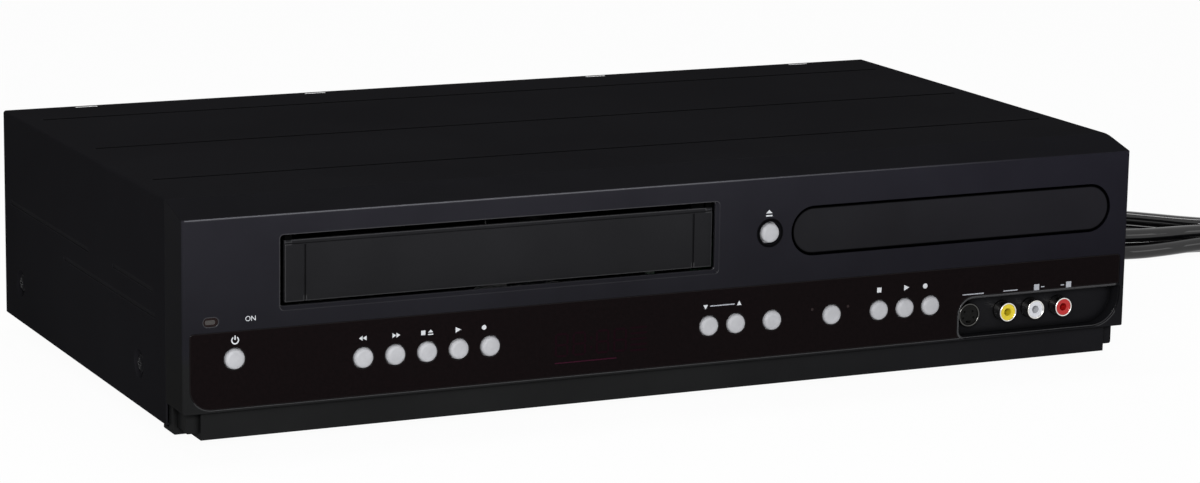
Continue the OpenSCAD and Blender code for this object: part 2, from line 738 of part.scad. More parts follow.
module gear_outline(teeth, m, tip, root, half_tip, half_root) {
  r = teeth * m / 2;
  circle(r = r - root);
  for (i = [0:teeth - 1]) rotate(360 / teeth * i)
    polygon([
      [r - root - 0.4, -half_root], [r + tip, -half_tip], [r + tip, half_tip],
      [r - root - 0.4, half_root]
    ]);
}

module disc_tray() color("#26272b") from_face() {
  half = tray_w / 2;
  pitch = PI * gear_module;
  rack_n = floor((tray_y1 - 20) / pitch);
  difference() {
    union() {
      block([tray_x - half, tray_x + half], [tray_y0 + 4, tray_y1], [plate_z, plate_top]);
      block([tray_x - half + 4, tray_x + half - 4], [tray_y0, tray_y0 + 4.5], [plate_z - 2, plate_top + 4]);
    }
    rod_z([tray_x, disc_y], plate_z + 2.6, plate_top + 1, disc_d / 2);
    rod_z([tray_x, disc_y], plate_z + 1.8, plate_top + 1, 41);
    rod_z([tray_x, disc_y], plate_z - 1, plate_top + 1, slot_w / 2);
    block([tray_x - slot_w / 2, tray_x + slot_w / 2], [disc_y, tray_y1 + 1], [plate_z - 1, plate_top + 1]);
    for (s = [-1, 1]) translate([tray_x + s * 62, disc_y + 44, plate_z - 1]) cylinder(h = 9, d = 9);
  }
  // Rack under the tray, with a tooth space centred beside the gear's axis
  block([rack_x + 0.9, rack_x + 4], [20, tray_y1], [gear_z + 0.6, plate_z + eps]);
  translate([rack_x, 0, gear_z + 0.6]) linear_extrude(plate_z - gear_z - 0.6 + eps)
    for (i = [0:rack_n - 2]) translate([0, gear_y + (i - 1.5) * pitch])
      polygon([[1.1, -0.95], [-0.6, -0.32], [-0.6, 0.32], [1.1, 0.95]]);
}

module tray_front() color("#1c1d22") from_face() {
  difference() {
    slab_y(0.4, tray_y0) stadium(tray_x, tray_z, tray_front_w, tray_front_h);
    slab_y(2.8, tray_y0 + 1) stadium(tray_x, tray_z, tray_front_w - 3.6, tray_front_h - 3.6);
  }
  for (x = [-50, 0, 50])
    block([tray_x + x - 6, tray_x + x + 6], [2.7, tray_y0], [tray_z - 6, tray_z + 4]);
}

module tray_gear() color("#e6e4dc") from_face()
  translate([gear_x, gear_y, 0]) difference() {
    union() {
      translate([0, 0, gear_z]) linear_extrude(4.4)
        gear_outline(gear_teeth, gear_module, 0.6, 1.25, 0.3, 0.95);
      translate([0, 0, frame_z + frame_floor + seat_gap]) rotate_extrude()
        polygon([[0, 0], [wheel_r, 0], [wheel_r, 0.6], [wheel_r - 1, 1], [wheel_r - 1, 2.4],
          [wheel_r, 2.8], [wheel_r, 3.4], [6, 3.4], [6, gear_z - frame_z - frame_floor - seat_gap + eps],
          [0, gear_z - frame_z - frame_floor - seat_gap + eps]]);
    }
    translate([0, 0, frame_z]) cylinder(h = 20, r = 2 + shaft_gap);
  }

module loading_motor() color("#b9bcc0") from_face() {
  rod_z([motor_x, motor_y], frame_z - 20, frame_z, 10);
  rod_z([motor_x, motor_y], frame_z - 1, frame_z + 4.4, 1);
}

module motor_pulley() color("#e6e4dc") from_face()
  translate([motor_x, motor_y, frame_z + frame_floor + seat_gap]) difference() {
    rotate_extrude() polygon([
      [0, 0], [pulley_r, 0], [pulley_r, 0.6], [pulley_r - 1, 1], [pulley_r - 1, 2.4],
      [pulley_r, 2.8], [pulley_r, 3.4], [0, 3.4]
    ]);
    translate([0, 0, -1]) cylinder(h = 3.4, r = 1 + shaft_gap);
  }

// The belt runs in the grooves of the two pulleys, with straight runs between them
module loading_belt() color("#151515") from_face() {
  a = [gear_x, gear_y];
  b = [motor_x, motor_y];
  ra = wheel_r - 1 + 0.15;
  rb = pulley_r - 1 + 0.15;
  d = norm(b - a);
  turn = atan2(b[1] - a[1], b[0] - a[0]);
  lean = acos((ra - rb) / d);
  translate([a[0], a[1], belt_z - 0.4]) rotate([0, 0, turn]) linear_extrude(0.8) difference() {
    polygon(concat(arc(0, 0, ra + 0.9, lean, 360 - lean, 24), arc(d, 0, rb + 0.9, -lean, lean, 16)));
    polygon(concat(arc(0, 0, ra, lean, 360 - lean, 24), arc(d, 0, rb, -lean, lean, 16)));
  }
}

module traverse_frame() color("#7d8084") from_face() {
  z = [traverse_z, traverse_z + 3];
  difference() {
    block([tray_x - 32, tray_x + 32], [44, hinge_rear_y - 6], z);
    block([tray_x - 13, tray_x + 13], [disc_y + 20, hinge_rear_y - 12], [z[0] - 1, z[1] + 1]);
  }
  for (s = [-1, 1]) {
    block([tray_x + s * 28 - 3, tray_x + s * 28 + 3], [hinge_rear_y - 7, hinge_rear_y + 2.5], z);
    for (y = [[disc_y + 12, disc_y + 16], [hinge_rear_y - 12, hinge_rear_y - 8]])
      block([tray_x + s * rod_x - 3, tray_x + s * rod_x + 3], y, [z[1] - eps, z[1] + 4]);
    rod_y(tray_x + s * rod_x, z[1] + 2.2, disc_y + 13, hinge_rear_y - 9, rod_r);
  }
  rod_x(hinge_rear_y, traverse_z + 1.5, tray_x - 39.5, tray_x + 39.5, pivot_r);
  rod_z([tray_x, disc_y], traverse_z - 5, z[1] + 2, 13);
  rod_z([tray_x, disc_y], z[1], z[1] + 7, 1.5);
}

module turntable() color("#3a3b3f") from_face()
  translate([tray_x, disc_y, traverse_z + 5 + seat_gap]) difference() {
    rotate_extrude() polygon([
      [0, 0], [table_r - 3, 0], [table_r, 4], [table_r, 7], [7.4, 7], [7.2, 8.6], [5.5, 9.4], [0, 9.4]
    ]);
    translate([0, 0, -1]) cylinder(h = 6.2, r = 1.5 + shaft_gap);
  }

module disc_clamp() color("#e6e4dc") from_face()
  translate([tray_x, disc_y, clamp_z]) rotate_extrude() polygon([
    [0, 0], [table_r, 0], [table_r, 1], [10, 3], [10, clamp_seat], [14, clamp_seat],
    [14, clamp_seat + 1.2], [0, clamp_seat + 1.2]
  ]);

module clamp_bridge() color("#a9adb2") from_face()
  difference() {
    union() {
      block([tray_x - frame_half, tray_x + frame_half], [disc_y - 17, disc_y + 17],
        [frame_top, frame_top + 1]);
      for (y = [disc_y - 17, disc_y + 16])
        block([tray_x - frame_half, tray_x + frame_half], [y, y + 1], [frame_top, frame_top + 4]);
    }
    rod_z([tray_x, disc_y], frame_top - 1, frame_top + 3, 11);
  }

module optical_pickup() color("#35363a") from_face() {
  y0 = disc_y + 22;
  rod_zc = traverse_z + 5.2;
  difference() {
    union() {
      block([tray_x - rod_x - 4, tray_x + rod_x + 4], [y0, y0 + 20], [traverse_z + 3.4, traverse_z + 7.6]);
      rod_z([tray_x, y0 + 8], traverse_z + 4, plate_z + 2.2, 7);
    }
    for (s = [-1, 1])
      rod_y(tray_x + s * rod_x, rod_zc, y0 - 1, y0 + 21, rod_r + shaft_gap);
    rod_z([tray_x, y0 + 8], plate_z + 1.6, plate_z + 3, 3);
  }
}

// ---- Tape deck ----

module deck_plate() color("#9a9da1") from_face() {
  difference() {
    union() {
      block([deck_x0, deck_x1], [deck_y0, deck_y1], [deck_z - deck_t, deck_z]);
      rod_z(capstan_at, deck_z - 3, deck_z + 6.5, 5);
      for (s = [-1, 1]) rod_z([tape_x + s * reel_gap / 2, reel_y], deck_z - eps, deck_z + 12, 2);
      rod_z(pinch_at, deck_z - eps, deck_z + 13, 2.5);
    }
    rod_z(capstan_at, deck_z - 5, deck_z + 10, capstan_r + shaft_gap);
    for (s = [-1, 1]) {
      x = tape_x + s * 44;
      slab = [x - 4, x + 4];
      block(slab, [118, 172], [deck_z - 3, deck_z + 1]);
    }
  }
}

module on_drum() translate([drum_at[0], drum_at[1], deck_z]) rotate([-drum_tilt, 0, 0]) children();

module lower_drum() color("#c3c6ca") from_face() {
  rod_z(drum_at, deck_z, deck_z + 8, 20);
  on_drum() {
    translate([0, 0, 6]) cylinder(h = 12, r = drum_r - 0.1);
    translate([0, 0, 1]) cylinder(h = 30, r = 3);
  }
}

module upper_drum() color("#d8dade") from_face()
  on_drum() difference() {
    union() {
      translate([0, 0, 18 + seat_gap]) cylinder(h = 12, r = drum_r);
      translate([0, 0, 30]) cylinder(h = 2.5, r = drum_r - 6);
    }
    translate([0, 0, 15]) cylinder(h = 20, r = 3 + shaft_gap);
    for (i = [0:3]) rotate([0, 0, 45 + 90 * i]) translate([drum_r - 2, -1.2, 17]) cube([4, 2.4, 2.4]);
  }

module capstan() color("#c9ccd0") from_face() {
  rod_z(capstan_at, deck_z - 9.5, deck_z + 30, capstan_r);
  rod_z(capstan_at, deck_z - 9.2, deck_z - 3.3, 24);
}

module pinch_arm() color("#b7babd") from_face()
  difference() {
    union() {
      rod_z(pinch_at, deck_z + 1, deck_z + 11, 5);
      translate([pinch_at[0], pinch_at[1], deck_z + 7]) rotate([0, 0, pinch_rest])
        translate([0, -3, 0]) cube([pinch_len, 6, 2.5]);
      rod_z(roller_at, deck_z + 7, deck_z + 9.5, 4);
      rod_z(roller_at, deck_z + 8, deck_z + 29, 1.5);
    }
    rod_z(pinch_at, deck_z, deck_z + 12, 2.5 + shaft_gap);
  }

module pinch_roller() color("#1d1d1f") from_face()
  difference() {
    rod_z(roller_at, deck_z + 9.5 + seat_gap, deck_z + 27, roller_r);
    rod_z(roller_at, deck_z + 9, deck_z + 28, 1.5 + shaft_gap);
  }

module reel_table(x) color("#2c2d31") from_face()
  translate([x, reel_y, deck_z + seat_gap]) difference() {
    union() {
      rotate_extrude() polygon([
        [0, 0], [6, 0], [6, 1.5], [reel_d / 2, 1.5], [reel_d / 2, 4], [10, 4], [9, 9], [4, 9],
        [4, 19], [2, 22], [0, 22]
      ]);
      for (i = [0:2]) rotate([0, 0, 120 * i]) translate([0, -0.8, 9]) cube([6.4, 1.6, 9]);
    }
    translate([0, 0, -1]) cylinder(h = 14, r = 2 + shaft_gap);
  }

module supply_reel() reel_table(tape_x - reel_gap / 2);
module takeup_reel() reel_table(tape_x + reel_gap / 2);

module each_side(at) for (s = [0, 1]) translate([at, 0, 0]) mirror([s, 0, 0]) children();

module holder_rails() color("#a9adb2") from_face() {
  each_side(tape_x) difference() {
    union() {
      block([rail_half, rail_half + rail_t], rail_y, [deck_z, guide_z + 9]);
      block([rail_half, rail_half + 5], rail_y, [deck_z, deck_z + rail_t]);
    }
    slab_x(rail_half - 1, rail_half + 3)
      round_rect([46, guide_z - 1.9], [90 + holder_in, guide_z + 1.9], 1.8);
    block([rail_half - 1, rail_half + 3], [60, 110], [deck_z + 10, guide_z - 16]);
  }
  block([tape_x - rail_half - rail_t, tape_x + rail_half + rail_t], [rail_y[1] - 12, rail_y[1]],
    [guide_z + 8, guide_z + 9]);
}

module holder_arms() color("#8f9397") from_face() {
  each_side(tape_x) {
    difference() {
      block([arm_half, arm_half + arm_t], [42, 93], [holder_z - 20, guide_z + 7]);
      for (y = [50, 85]) slab_x(arm_half - 1, arm_half + 3)
        round_rect([y - 1.9, holder_z + 6 - holder_drop - 2.2], [y + 1.9, holder_z + 6 + 2.2], 1.8);
      block([arm_half - 1, arm_half + 2], [58, 77], [holder_z - 14, holder_z + 20]);
    }
    for (y = [50, 85]) rod_x(y, guide_z, arm_half + arm_t / 2, rail_half + rail_t, 1.5);
  }
  rod_x(67, guide_z + 5, tape_x - arm_half - arm_t / 2, tape_x + arm_half + arm_t / 2, 1.5);
}

module cassette_holder() color("#b9bcc0") from_face() {
  floor_z = [holder_z, holder_z + holder_wall];
  roof = holder_z + cassette_h + 4;
  each_side(tape_x) {
    block([holder_half, holder_half + holder_wall], [holder_y0, holder_y1], [floor_z[0], roof]);
    block([holder_half - 14, holder_half + eps], [holder_y0, holder_y1], floor_z);
    for (y = [50, 85])
      rod_x(y, holder_z + 6, holder_half + holder_wall / 2, arm_half + arm_t + 0.3, 1.5);
  }
  difference() {
    block([tape_x - holder_half - holder_wall, tape_x + holder_half + holder_wall],
      [holder_y0, holder_y1], [roof - holder_wall, roof]);
    block([tape_x - 60, tape_x + 60], [holder_y0 + 16, holder_y1 - 16], [roof - 3, roof + 1]);
  }
}

// ---- Boards and rear jacks ----

module main_board() color("#2f6b3a") from_face() {
  difference() {
    block(board_x, [40, rear_in - 2], [board_z, board_z + board_t]);
    for (p = concat(deck_posts, loader_posts))
      block([p[0] - 6.5, p[0] + 6.5], [p[1] - 6.5, p[1] + 6.5], [board_z - 1, board_z + 3]);
  }
  top = board_z + board_t - eps;
  for (c = [[-150, 80, 24, 24, 2], [-100, 130, 28, 28, 3], [-60, 90, 16, 20, 2],
      [-130, rear_in - 46.6, 18, 30, 3]])
    translate([over_w(c[0]), c[1], top]) cube([c[2], c[3], c[4]]);
  translate([over_w(84), 150, top]) {
    cube([34, 30, 26]);
    translate([6, 3, 26 - eps]) cube([22, 24, 4]);
  }
  for (i = [0:3]) rod_z([over_w(140 + 16 * i), 128], top, top + 22, 6);
  translate([over_w(130), 160, top]) cube([50, 3, 26]);
}

module rear_jacks() color("#c9ccd0") from_face() {
  y = [housing_y, rear_in - 0.1];
  tip = body_d + rear_proud - 0.8;
  block([rear_cols[0] - 9, rear_cols[2] + 9], y, [26, 75]);
  block([coax_x - 9, coax_x + 9], y, [26, 69]);
  block([antenna_x - 9, antenna_x + 9], y, [28, 70]);
  block([hdmi_x - 10, hdmi_x + 10], y, [28, 40]);
  for (x = rear_cols) for (z = rear_rows) ring_y([x, z], y[1] - 1, tip, jack_d / 2, 1.7);
  ring_y([coax_x, 34], y[1] - 1, tip, jack_d / 2, 1.7);
  ring_y([coax_x, 60], y[1] - 1, rear_out + 1, 5, 4.3);
  for (z = [38, 60]) ring_y([antenna_x, z], y[1] - 1, body_d + rear_proud, 4.7, 1);
  for (x = [antenna_x - 9, rear_cols[0] - 9, coax_x - 9, hdmi_x - 10])
    block([x + 2, x + 16], y, [board_z + board_t, 30]);
}

// ---- Mains cord ----

module strain_relief() color("#1a1a1c") from_face()
  translate([cord_x, rear_in - 3, cord_z]) rotate([-90, 0, 0]) rotate_extrude() polygon(concat(
    [[0, 0], [7.4, 0], [7.4, 2.9], [6.2, 2.9], [6.2, 3.9], [7.6, 3.9], [7.6, 6]],
    [for (i = [0:4]) each [[6 - 0.45 * i, 7.5 + 4.2 * i], [6 - 0.45 * i, 9.5 + 4.2 * i],
      [4.9 - 0.3 * i, 10 + 4.2 * i], [4.9 - 0.3 * i, 11.2 + 4.2 * i]]],
    [[0, 28.6]]
  ));

function unit(v) = v / norm(v);

module cord_tube(points, r, sides = 8) {
  n = len(points);
  rings = [for (i = [0:n - 1])
    let (
      t = unit(points[min(i + 1, n - 1)] - points[max(i - 1, 0)]),
      across = unit(cross(t, [0, 0, 1])),
      up = cross(across, t)
    )
    for (k = [0:sides - 1]) points[i] + r * (cos(360 / sides * k) * across + sin(360 / sides * k) * up)
  ];
  walls = [for (i = [0:n - 2], k = [0:sides - 1])
    let (a = i * sides + k, b = i * sides + (k + 1) % sides) [a, a + sides, b + sides, b]];
  caps = [[for (k = [0:sides - 1]) k], [for (k = [sides - 1:-1:0]) (n - 1) * sides + k]];
  polyhedron(rings, concat(walls, caps), convexity = 6);
}

module power_cord() color("#1a1a1c") from_face() cord_tube(cord_route, cord_r / cos(22.5));

module cord_hank() color("#1a1a1c") from_face()
  translate([hank_at[0], hank_at[1], 0]) rotate([0, 0, hank_turn]) linear_extrude(hank_h)
    stadium(0, 0, hank_len, hank_w);

module cord_plug() color("#1a1a1c") from_face()
  translate([plug_at[0], plug_at[1], 0]) rotate([0, 0, 180 + hank_turn]) {
    rod_x(0, cord_r, 13, 38, cord_r);
    block([37, 61], [-9, 9], [0, 12]);
    for (y = [-6.35, 6.35]) block([61 - eps, 77], [y - 0.75, y + 0.75], [2.8, 9.2]);
  }

top_cover();
base_pan();
rear_panel();
front_bezel();
display_window();
feet();
cover_screws();
power_lens();
cassette_door();
door_spring();
power_button();
rewind_button();
fast_forward_button();
tape_stop_button();
tape_play_button();
tape_record_button();
tracking_down_button();
tracking_up_button();
dubbing_button();
source_button();
disc_stop_button();
disc_play_button();
disc_record_button();
disc_eject_button();
front_board();
display_module();
front_jack_block();
jack_shells();
video_insert();
left_insert();
right_insert();
loader_frame();
disc_tray();
tray_front();
tray_gear();
loading_motor();
motor_pulley();
loading_belt();
traverse_frame();
turntable();
disc_clamp();
clamp_bridge();
optical_pickup();
deck_plate();
lower_drum();
upper_drum();
capstan();
pinch_arm();
pinch_roller();
supply_reel();
takeup_reel();
holder_rails();
holder_arms();
cassette_holder();
main_board();
rear_jacks();
strain_relief();
power_cord();
cord_hank();
cord_plug();
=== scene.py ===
"""A full-width disc and cassette player: finishes, printed marks, small parts, mains cord."""

import json
import math

import bmesh
import bpy
from mathutils import Matrix, Vector


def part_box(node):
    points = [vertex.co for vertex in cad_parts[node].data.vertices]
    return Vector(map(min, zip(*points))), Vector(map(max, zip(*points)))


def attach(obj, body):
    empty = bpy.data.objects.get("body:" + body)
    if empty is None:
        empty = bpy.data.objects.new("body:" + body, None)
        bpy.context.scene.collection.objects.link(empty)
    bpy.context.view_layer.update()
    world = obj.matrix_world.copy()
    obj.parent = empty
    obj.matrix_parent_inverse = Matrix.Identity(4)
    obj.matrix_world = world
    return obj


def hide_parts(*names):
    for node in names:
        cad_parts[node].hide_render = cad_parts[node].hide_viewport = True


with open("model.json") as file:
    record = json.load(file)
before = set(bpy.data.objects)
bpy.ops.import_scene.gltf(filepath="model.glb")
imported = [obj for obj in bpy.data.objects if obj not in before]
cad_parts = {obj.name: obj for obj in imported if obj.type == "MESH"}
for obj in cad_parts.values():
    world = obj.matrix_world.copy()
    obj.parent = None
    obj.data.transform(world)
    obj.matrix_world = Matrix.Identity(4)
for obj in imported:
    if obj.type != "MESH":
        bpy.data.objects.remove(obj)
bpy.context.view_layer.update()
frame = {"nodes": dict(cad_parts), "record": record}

MM = 0.001
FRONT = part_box("front_bezel")[0][1]  # the plane of the bezel's face, in metres

# Places in millimetres: X from the middle, Y from front to back, heights above the floor
FACE = FRONT / MM
COVER_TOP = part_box("top_cover")[1][2] / MM
WINDOW_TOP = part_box("display_window")[1][2] / MM
DOOR_TOP = 83.1  # the top of the cassette door's leaf
DOOR_INNER_X = (-171, 11.5)  # the door's face within its outline
DOOR_INNER_Z = (60.5, 81.5)
TRAY_SIDE_X, TRAY_SIDE_Z = 28, 58  # the disc tray lies past both
PLINTH_TOP = 17.5
POCKET_TOP = 36  # the top of the pocket with the front jacks
BEZEL_HALF = 216  # half of the width of the bezel's flat face
SHOULDER = 94.5  # the height where the bezel's sides and slope take over from its face

# ---------------------------------------------------------------- camera

CAMERA_AT = (-0.688, -1.47835, 0.3855)
CAMERA_TURN = (-25.61, 11.73, 0.97)  # azimuth, elevation and roll, in degrees
CAMERA_LENS = 112.95


def add_camera():
    azimuth, elevation, roll = (math.radians(a) for a in CAMERA_TURN)
    back = Vector(
        (
            math.sin(azimuth) * math.cos(elevation),
            -math.cos(azimuth) * math.cos(elevation),
            math.sin(elevation),
        )
    )
    right = (-back).cross(Vector((0, 0, 1))).normalized()
    up = back.cross(right)
    across = math.cos(roll) * right + math.sin(roll) * up
    upright = -math.sin(roll) * right + math.cos(roll) * up
    data = bpy.data.cameras.new("camera")
    data.sensor_fit = "HORIZONTAL"
    data.sensor_width = 36.0
    data.lens = CAMERA_LENS
    data.clip_start = 0.05
    data.clip_end = 30.0
    camera = bpy.data.objects.new("camera", data)
    turn = Matrix((across, upright, back)).transposed().to_4x4()
    camera.matrix_world = Matrix.Translation(CAMERA_AT) @ turn
    bpy.context.scene.collection.objects.link(camera)
    bpy.context.scene.camera = camera


# ---------------------------------------------------------------- nodes


def nodes_of(name):
    """A new material, its node tree, and its Principled shader."""
    material = bpy.data.materials.new(name)
    material.use_nodes = True
    return material, material.node_tree, material.node_tree.nodes["Principled BSDF"]


def add(tree, kind, **settings):
    node = tree.nodes.new(kind)
    for key, value in settings.items():
        if key in node.inputs:
            node.inputs[key].default_value = value
        else:
            setattr(node, key, value)
    return node


def placed(tree, stretch=(1, 1, 1), turn=(0, 0, 0)):
    """Object coordinates, stretched and turned."""
    coords = add(tree, "ShaderNodeTexCoord")
    mapping = add(tree, "ShaderNodeMapping", Scale=stretch, Rotation=turn)
    tree.links.new(coords.outputs["Object"], mapping.inputs["Vector"])
    return mapping.outputs["Vector"]


def object_parts(tree):
    """The object's own X, Y and Z."""
    coords = add(tree, "ShaderNodeTexCoord")
    parts = add(tree, "ShaderNodeSeparateXYZ")
    tree.links.new(coords.outputs["Object"], parts.inputs["Vector"])
    return parts.outputs


def noise(tree, where, size_mm, detail=3.0, rough=0.55):
    node = add(tree, "ShaderNodeTexNoise", Scale=1000 / size_mm, Detail=detail, Roughness=rough)
    tree.links.new(where, node.inputs["Vector"])
    return node.outputs["Fac"]


def ramp(tree, value, low, high, start=0.3, end=0.7):
    """A value turned into a colour between two colours."""
    node = add(tree, "ShaderNodeValToRGB")
    node.color_ramp.elements[0].position = start
    node.color_ramp.elements[1].position = end
    node.color_ramp.elements[0].color = (*low, 1)
    node.color_ramp.elements[1].color = (*high, 1)
    tree.links.new(value, node.inputs["Fac"])
    return node.outputs["Color"]


def spread(tree, value, low, high, start=0.3, end=0.7):
    """A value turned into a number between two numbers."""
    node = add(tree, "ShaderNodeMapRange")
    node.inputs["From Min"].default_value = start
    node.inputs["From Max"].default_value = end
    node.inputs["To Min"].default_value = low
    node.inputs["To Max"].default_value = high
    tree.links.new(value, node.inputs["Value"])
    return node.outputs["Result"]


def worked(tree, operation, *values):
    """The result of one sum on sockets and plain numbers."""
    node = add(tree, "ShaderNodeMath", operation=operation)
    for socket, value in zip(node.inputs, values):
        if isinstance(value, (int, float)):
            socket.default_value = value
        else:
            tree.links.new(value, socket)
    return node.outputs["Value"]


def product(tree, first, *others):
    """Shares multiplied with each other."""
    for value in others:
        first = worked(tree, "MULTIPLY", first, value)
    return first


def opposite(tree, share):
    return spread(tree, share, 1.0, 0.0, 0.0, 1.0)


def mixed(tree, share, first, second, how="MIX"):
    """Two colours mixed by a share, each of them a socket or three numbers."""
    node = add(tree, "ShaderNodeMix", data_type="RGBA", blend_type=how)
    tree.links.new(share, node.inputs["Factor"])
    for name, colour in (("A", first), ("B", second)):
        if isinstance(colour, tuple):
            node.inputs[name].default_value = (*colour, 1)
        else:
            tree.links.new(colour, node.inputs[name])
    return node.outputs["Result"]


def darkened(tree, colour, share):
    """A colour that keeps a share of its brightness."""
    return mixed(tree, share, (0, 0, 0), colour)


def dimmed(tree, colour, share, least):
    """A colour that is darker by a share, down to the least part of itself."""
    return darkened(tree, colour, spread(tree, share, 1.0, least, 0.0, 1.0))


def tinted(tree, colour, share, tint):
    """A colour multiplied by a tint where the share is one."""
    return mixed(tree, share, colour, tint, "MULTIPLY")


def painted_highlight(tree, colour, edge, pale, share):
    """A colour painted a little paler by a share of a mask, as a painted highlight."""
    return mixed(tree, worked(tree, "MULTIPLY", edge, share), colour, pale)


def bump(tree, value, depth_mm, strength, under=None):
    node = add(tree, "ShaderNodeBump", Strength=strength, Distance=depth_mm * MM)
    tree.links.new(value, node.inputs["Height"])
    if under is not None:
        tree.links.new(under, node.inputs["Normal"])
    return node.outputs["Normal"]


def rounded(tree, radius_mm=0.4):
    """The normal of the surface as if its edges were rounded."""
    return add(tree, "ShaderNodeBevel", samples=4, Radius=radius_mm * MM).outputs["Normal"]


def openness(tree, reach_mm, **settings):
    """One where the space around is free, down to nothing in a closed gap."""
    node = add(tree, "ShaderNodeAmbientOcclusion", samples=6, **settings)
    node.inputs["Distance"].default_value = reach_mm * MM
    return node.outputs["AO"]


def outer_edges(tree, reach_mm=0.5):
    """One on an outer edge, and nothing on the flat beside it."""
    open_inside = openness(tree, reach_mm, inside=True, only_local=True)
    return spread(tree, open_inside, 1.0, 0.0, 0.55, 0.95)


def painted_gap_shade(tree, colour, reach_mm=4.0, least=0.12, shut=0.3, clear=0.85):
    """A colour with painted shade down in gaps and recesses, darker the more closed the space
    around is.
    """
    return darkened(tree, colour, spread(tree, openness(tree, reach_mm), least, 1.0, shut, clear))


def painted_inside_shade(tree, colour):
    """A colour with painted shade deep inside the case, darker where little light comes."""
    return painted_gap_shade(tree, colour, reach_mm=300, least=0.02, shut=0.45, clear=0.95)


def lying(tree, axis, start_mm=None, end_mm=None, over_mm=0.1):
    """One between two places along an axis of the object, and nothing outside them."""
    place = object_parts(tree)[axis]
    shares = [
        spread(tree, place, low, high, edge_mm * MM, (edge_mm + over_mm) * MM)
        for edge_mm, low, high in ((start_mm, 0.0, 1.0), (end_mm, 1.0, 0.0))
        if edge_mm is not None
    ]
    return product(tree, *shares)


def outline(tree, first_x, last_x, z, radius, half_wide):
    """One along the outline of a slot or a hole on the front, and nothing beside it."""
    x, _, height = object_parts(tree)
    nearest = add(tree, "ShaderNodeClamp", Min=first_x * MM, Max=last_x * MM)
    tree.links.new(x, nearest.inputs["Value"])
    middle = add(tree, "ShaderNodeCombineXYZ", Z=z * MM)
    here = add(tree, "ShaderNodeCombineXYZ")
    tree.links.new(nearest.outputs["Result"], middle.inputs["X"])
    tree.links.new(x, here.inputs["X"])
    tree.links.new(height, here.inputs["Z"])
    away = add(tree, "ShaderNodeVectorMath", operation="DISTANCE")
    tree.links.new(here.outputs["Vector"], away.inputs[0])
    tree.links.new(middle.outputs["Vector"], away.inputs[1])
    from_line = worked(tree, "SUBTRACT", away.outputs["Value"], radius * MM)
    size = worked(tree, "ABSOLUTE", from_line)
    return spread(tree, size, 1.0, 0.0, half_wide * MM, (half_wide + 0.25) * MM)


def surface(tree, shader, colour, rough, normal=None):
    """Give a shader what varies over its surface."""
    for name, value in (("Base Color", colour), ("Roughness", rough), ("Normal", normal)):
        if value is not None:
            tree.links.new(value, shader.inputs[name])


def satin(tree, shader, normal, weight, rough, edge=None, shine=0.0):
    """A thin satin coat as the only gloss of a dark finish, glossier on its edges."""
    tree.links.new(normal, shader.inputs["Normal"])
    tree.links.new(normal, shader.inputs["Coat Normal"])
    shader.inputs["Specular IOR Level"].default_value = 0.0
    shader.inputs["Coat Weight"].default_value = weight
    shader.inputs["Coat Roughness"].default_value = rough
    if edge is not None:
        more = worked(tree, "MULTIPLY_ADD", edge, shine, weight)
        tree.links.new(more, shader.inputs["Coat Weight"])


# ---------------------------------------------------------------- dark finishes

LOWER_TINT = (1.0, 1.04, 0.84)  # the plinth and the pocket are less blue than the face
# Painted light and shade: the front is painted brighter towards its top and darker towards its
# foot.
LOWER_SHARE = 0.68  # how much of its top's brightness the foot of the front keeps
BRIGHTENING_MM = 44  # the height over which the front brightens
# Painted shade: the front is painted darker towards its right side.
RIGHTWARD_MM = 190  # how far the tint of the right side takes to come in
# Paler colours painted on as highlights: on the front's edges, and on the line where its face meets
# the slope.
PAINTED_EDGE_HIGHLIGHT = (0.055, 0.055, 0.06)
PAINTED_LINE_HIGHLIGHT = (0.10, 0.10, 0.11)


def satin_black_paint():
    """Baked satin paint over steel, with a fine orange peel and dust-dull patches; painted shade
    darkens the grooves on its top, and a faint painted highlight its edges.
    """
    material, tree, shader = nodes_of("satin_black_paint")
    where = placed(tree)
    patches = noise(tree, where, 90, 4)
    grain = noise(tree, where, 0.55, 2)
    edge = outer_edges(tree)
    colour = ramp(tree, patches, (0.0068, 0.0066, 0.0078), (0.0086, 0.0084, 0.0098))
    # Painted shade down in the grooves of the top.
    groove_shade = spread(tree, openness(tree, 1.5), 1.0, 0.0, 0.8, 0.97)
    on_top = lying(tree, "Z", COVER_TOP - 1)
    colour = dimmed(tree, colour, product(tree, groove_shade, on_top), 0.1)
    # Painted highlight: the edges a little paler.
    colour = painted_highlight(tree, colour, edge, (0.03, 0.03, 0.033), 0.12)
    surface(tree, shader, colour, spread(tree, patches, 0.40, 0.47))
    satin(tree, shader, bump(tree, grain, 0.012, 0.6, rounded(tree)), 0.015, 0.34, edge, 0.03)
    return material


def inside_door(tree):
    """The door's face within its outline, whose upright grooves stay dark."""
    return product(tree, lying(tree, "X", *DOOR_INNER_X), lying(tree, "Z", *DOOR_INNER_Z))


def beside_tray(tree):
    """The part of the front round the disc tray, whose slot keeps dark edges."""
    return product(tree, lying(tree, "X", TRAY_SIDE_X), lying(tree, "Z", TRAY_SIDE_Z))


def tray_gap_shade(tree):
    """Painted shade: the dark line round the tray's front, where its gap lies in shadow."""
    low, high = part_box("tray_front")
    radius = (high[2] - low[2]) / 2 / MM
    first_x, last_x = low[0] / MM + radius, high[0] / MM - radius
    return outline(tree, first_x, last_x, low[2] / MM + radius, radius + 0.25, 0.55)


def eject_seat_shade(tree):
    """Painted shade in the dished seat round the eject button."""
    low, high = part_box("disc_eject_button")
    radius = (high[0] - low[0]) / 2 / MM
    x = low[0] / MM + radius
    return outline(tree, x, x, (low[2] + high[2]) / 2 / MM, radius + 0.4, 0.5)


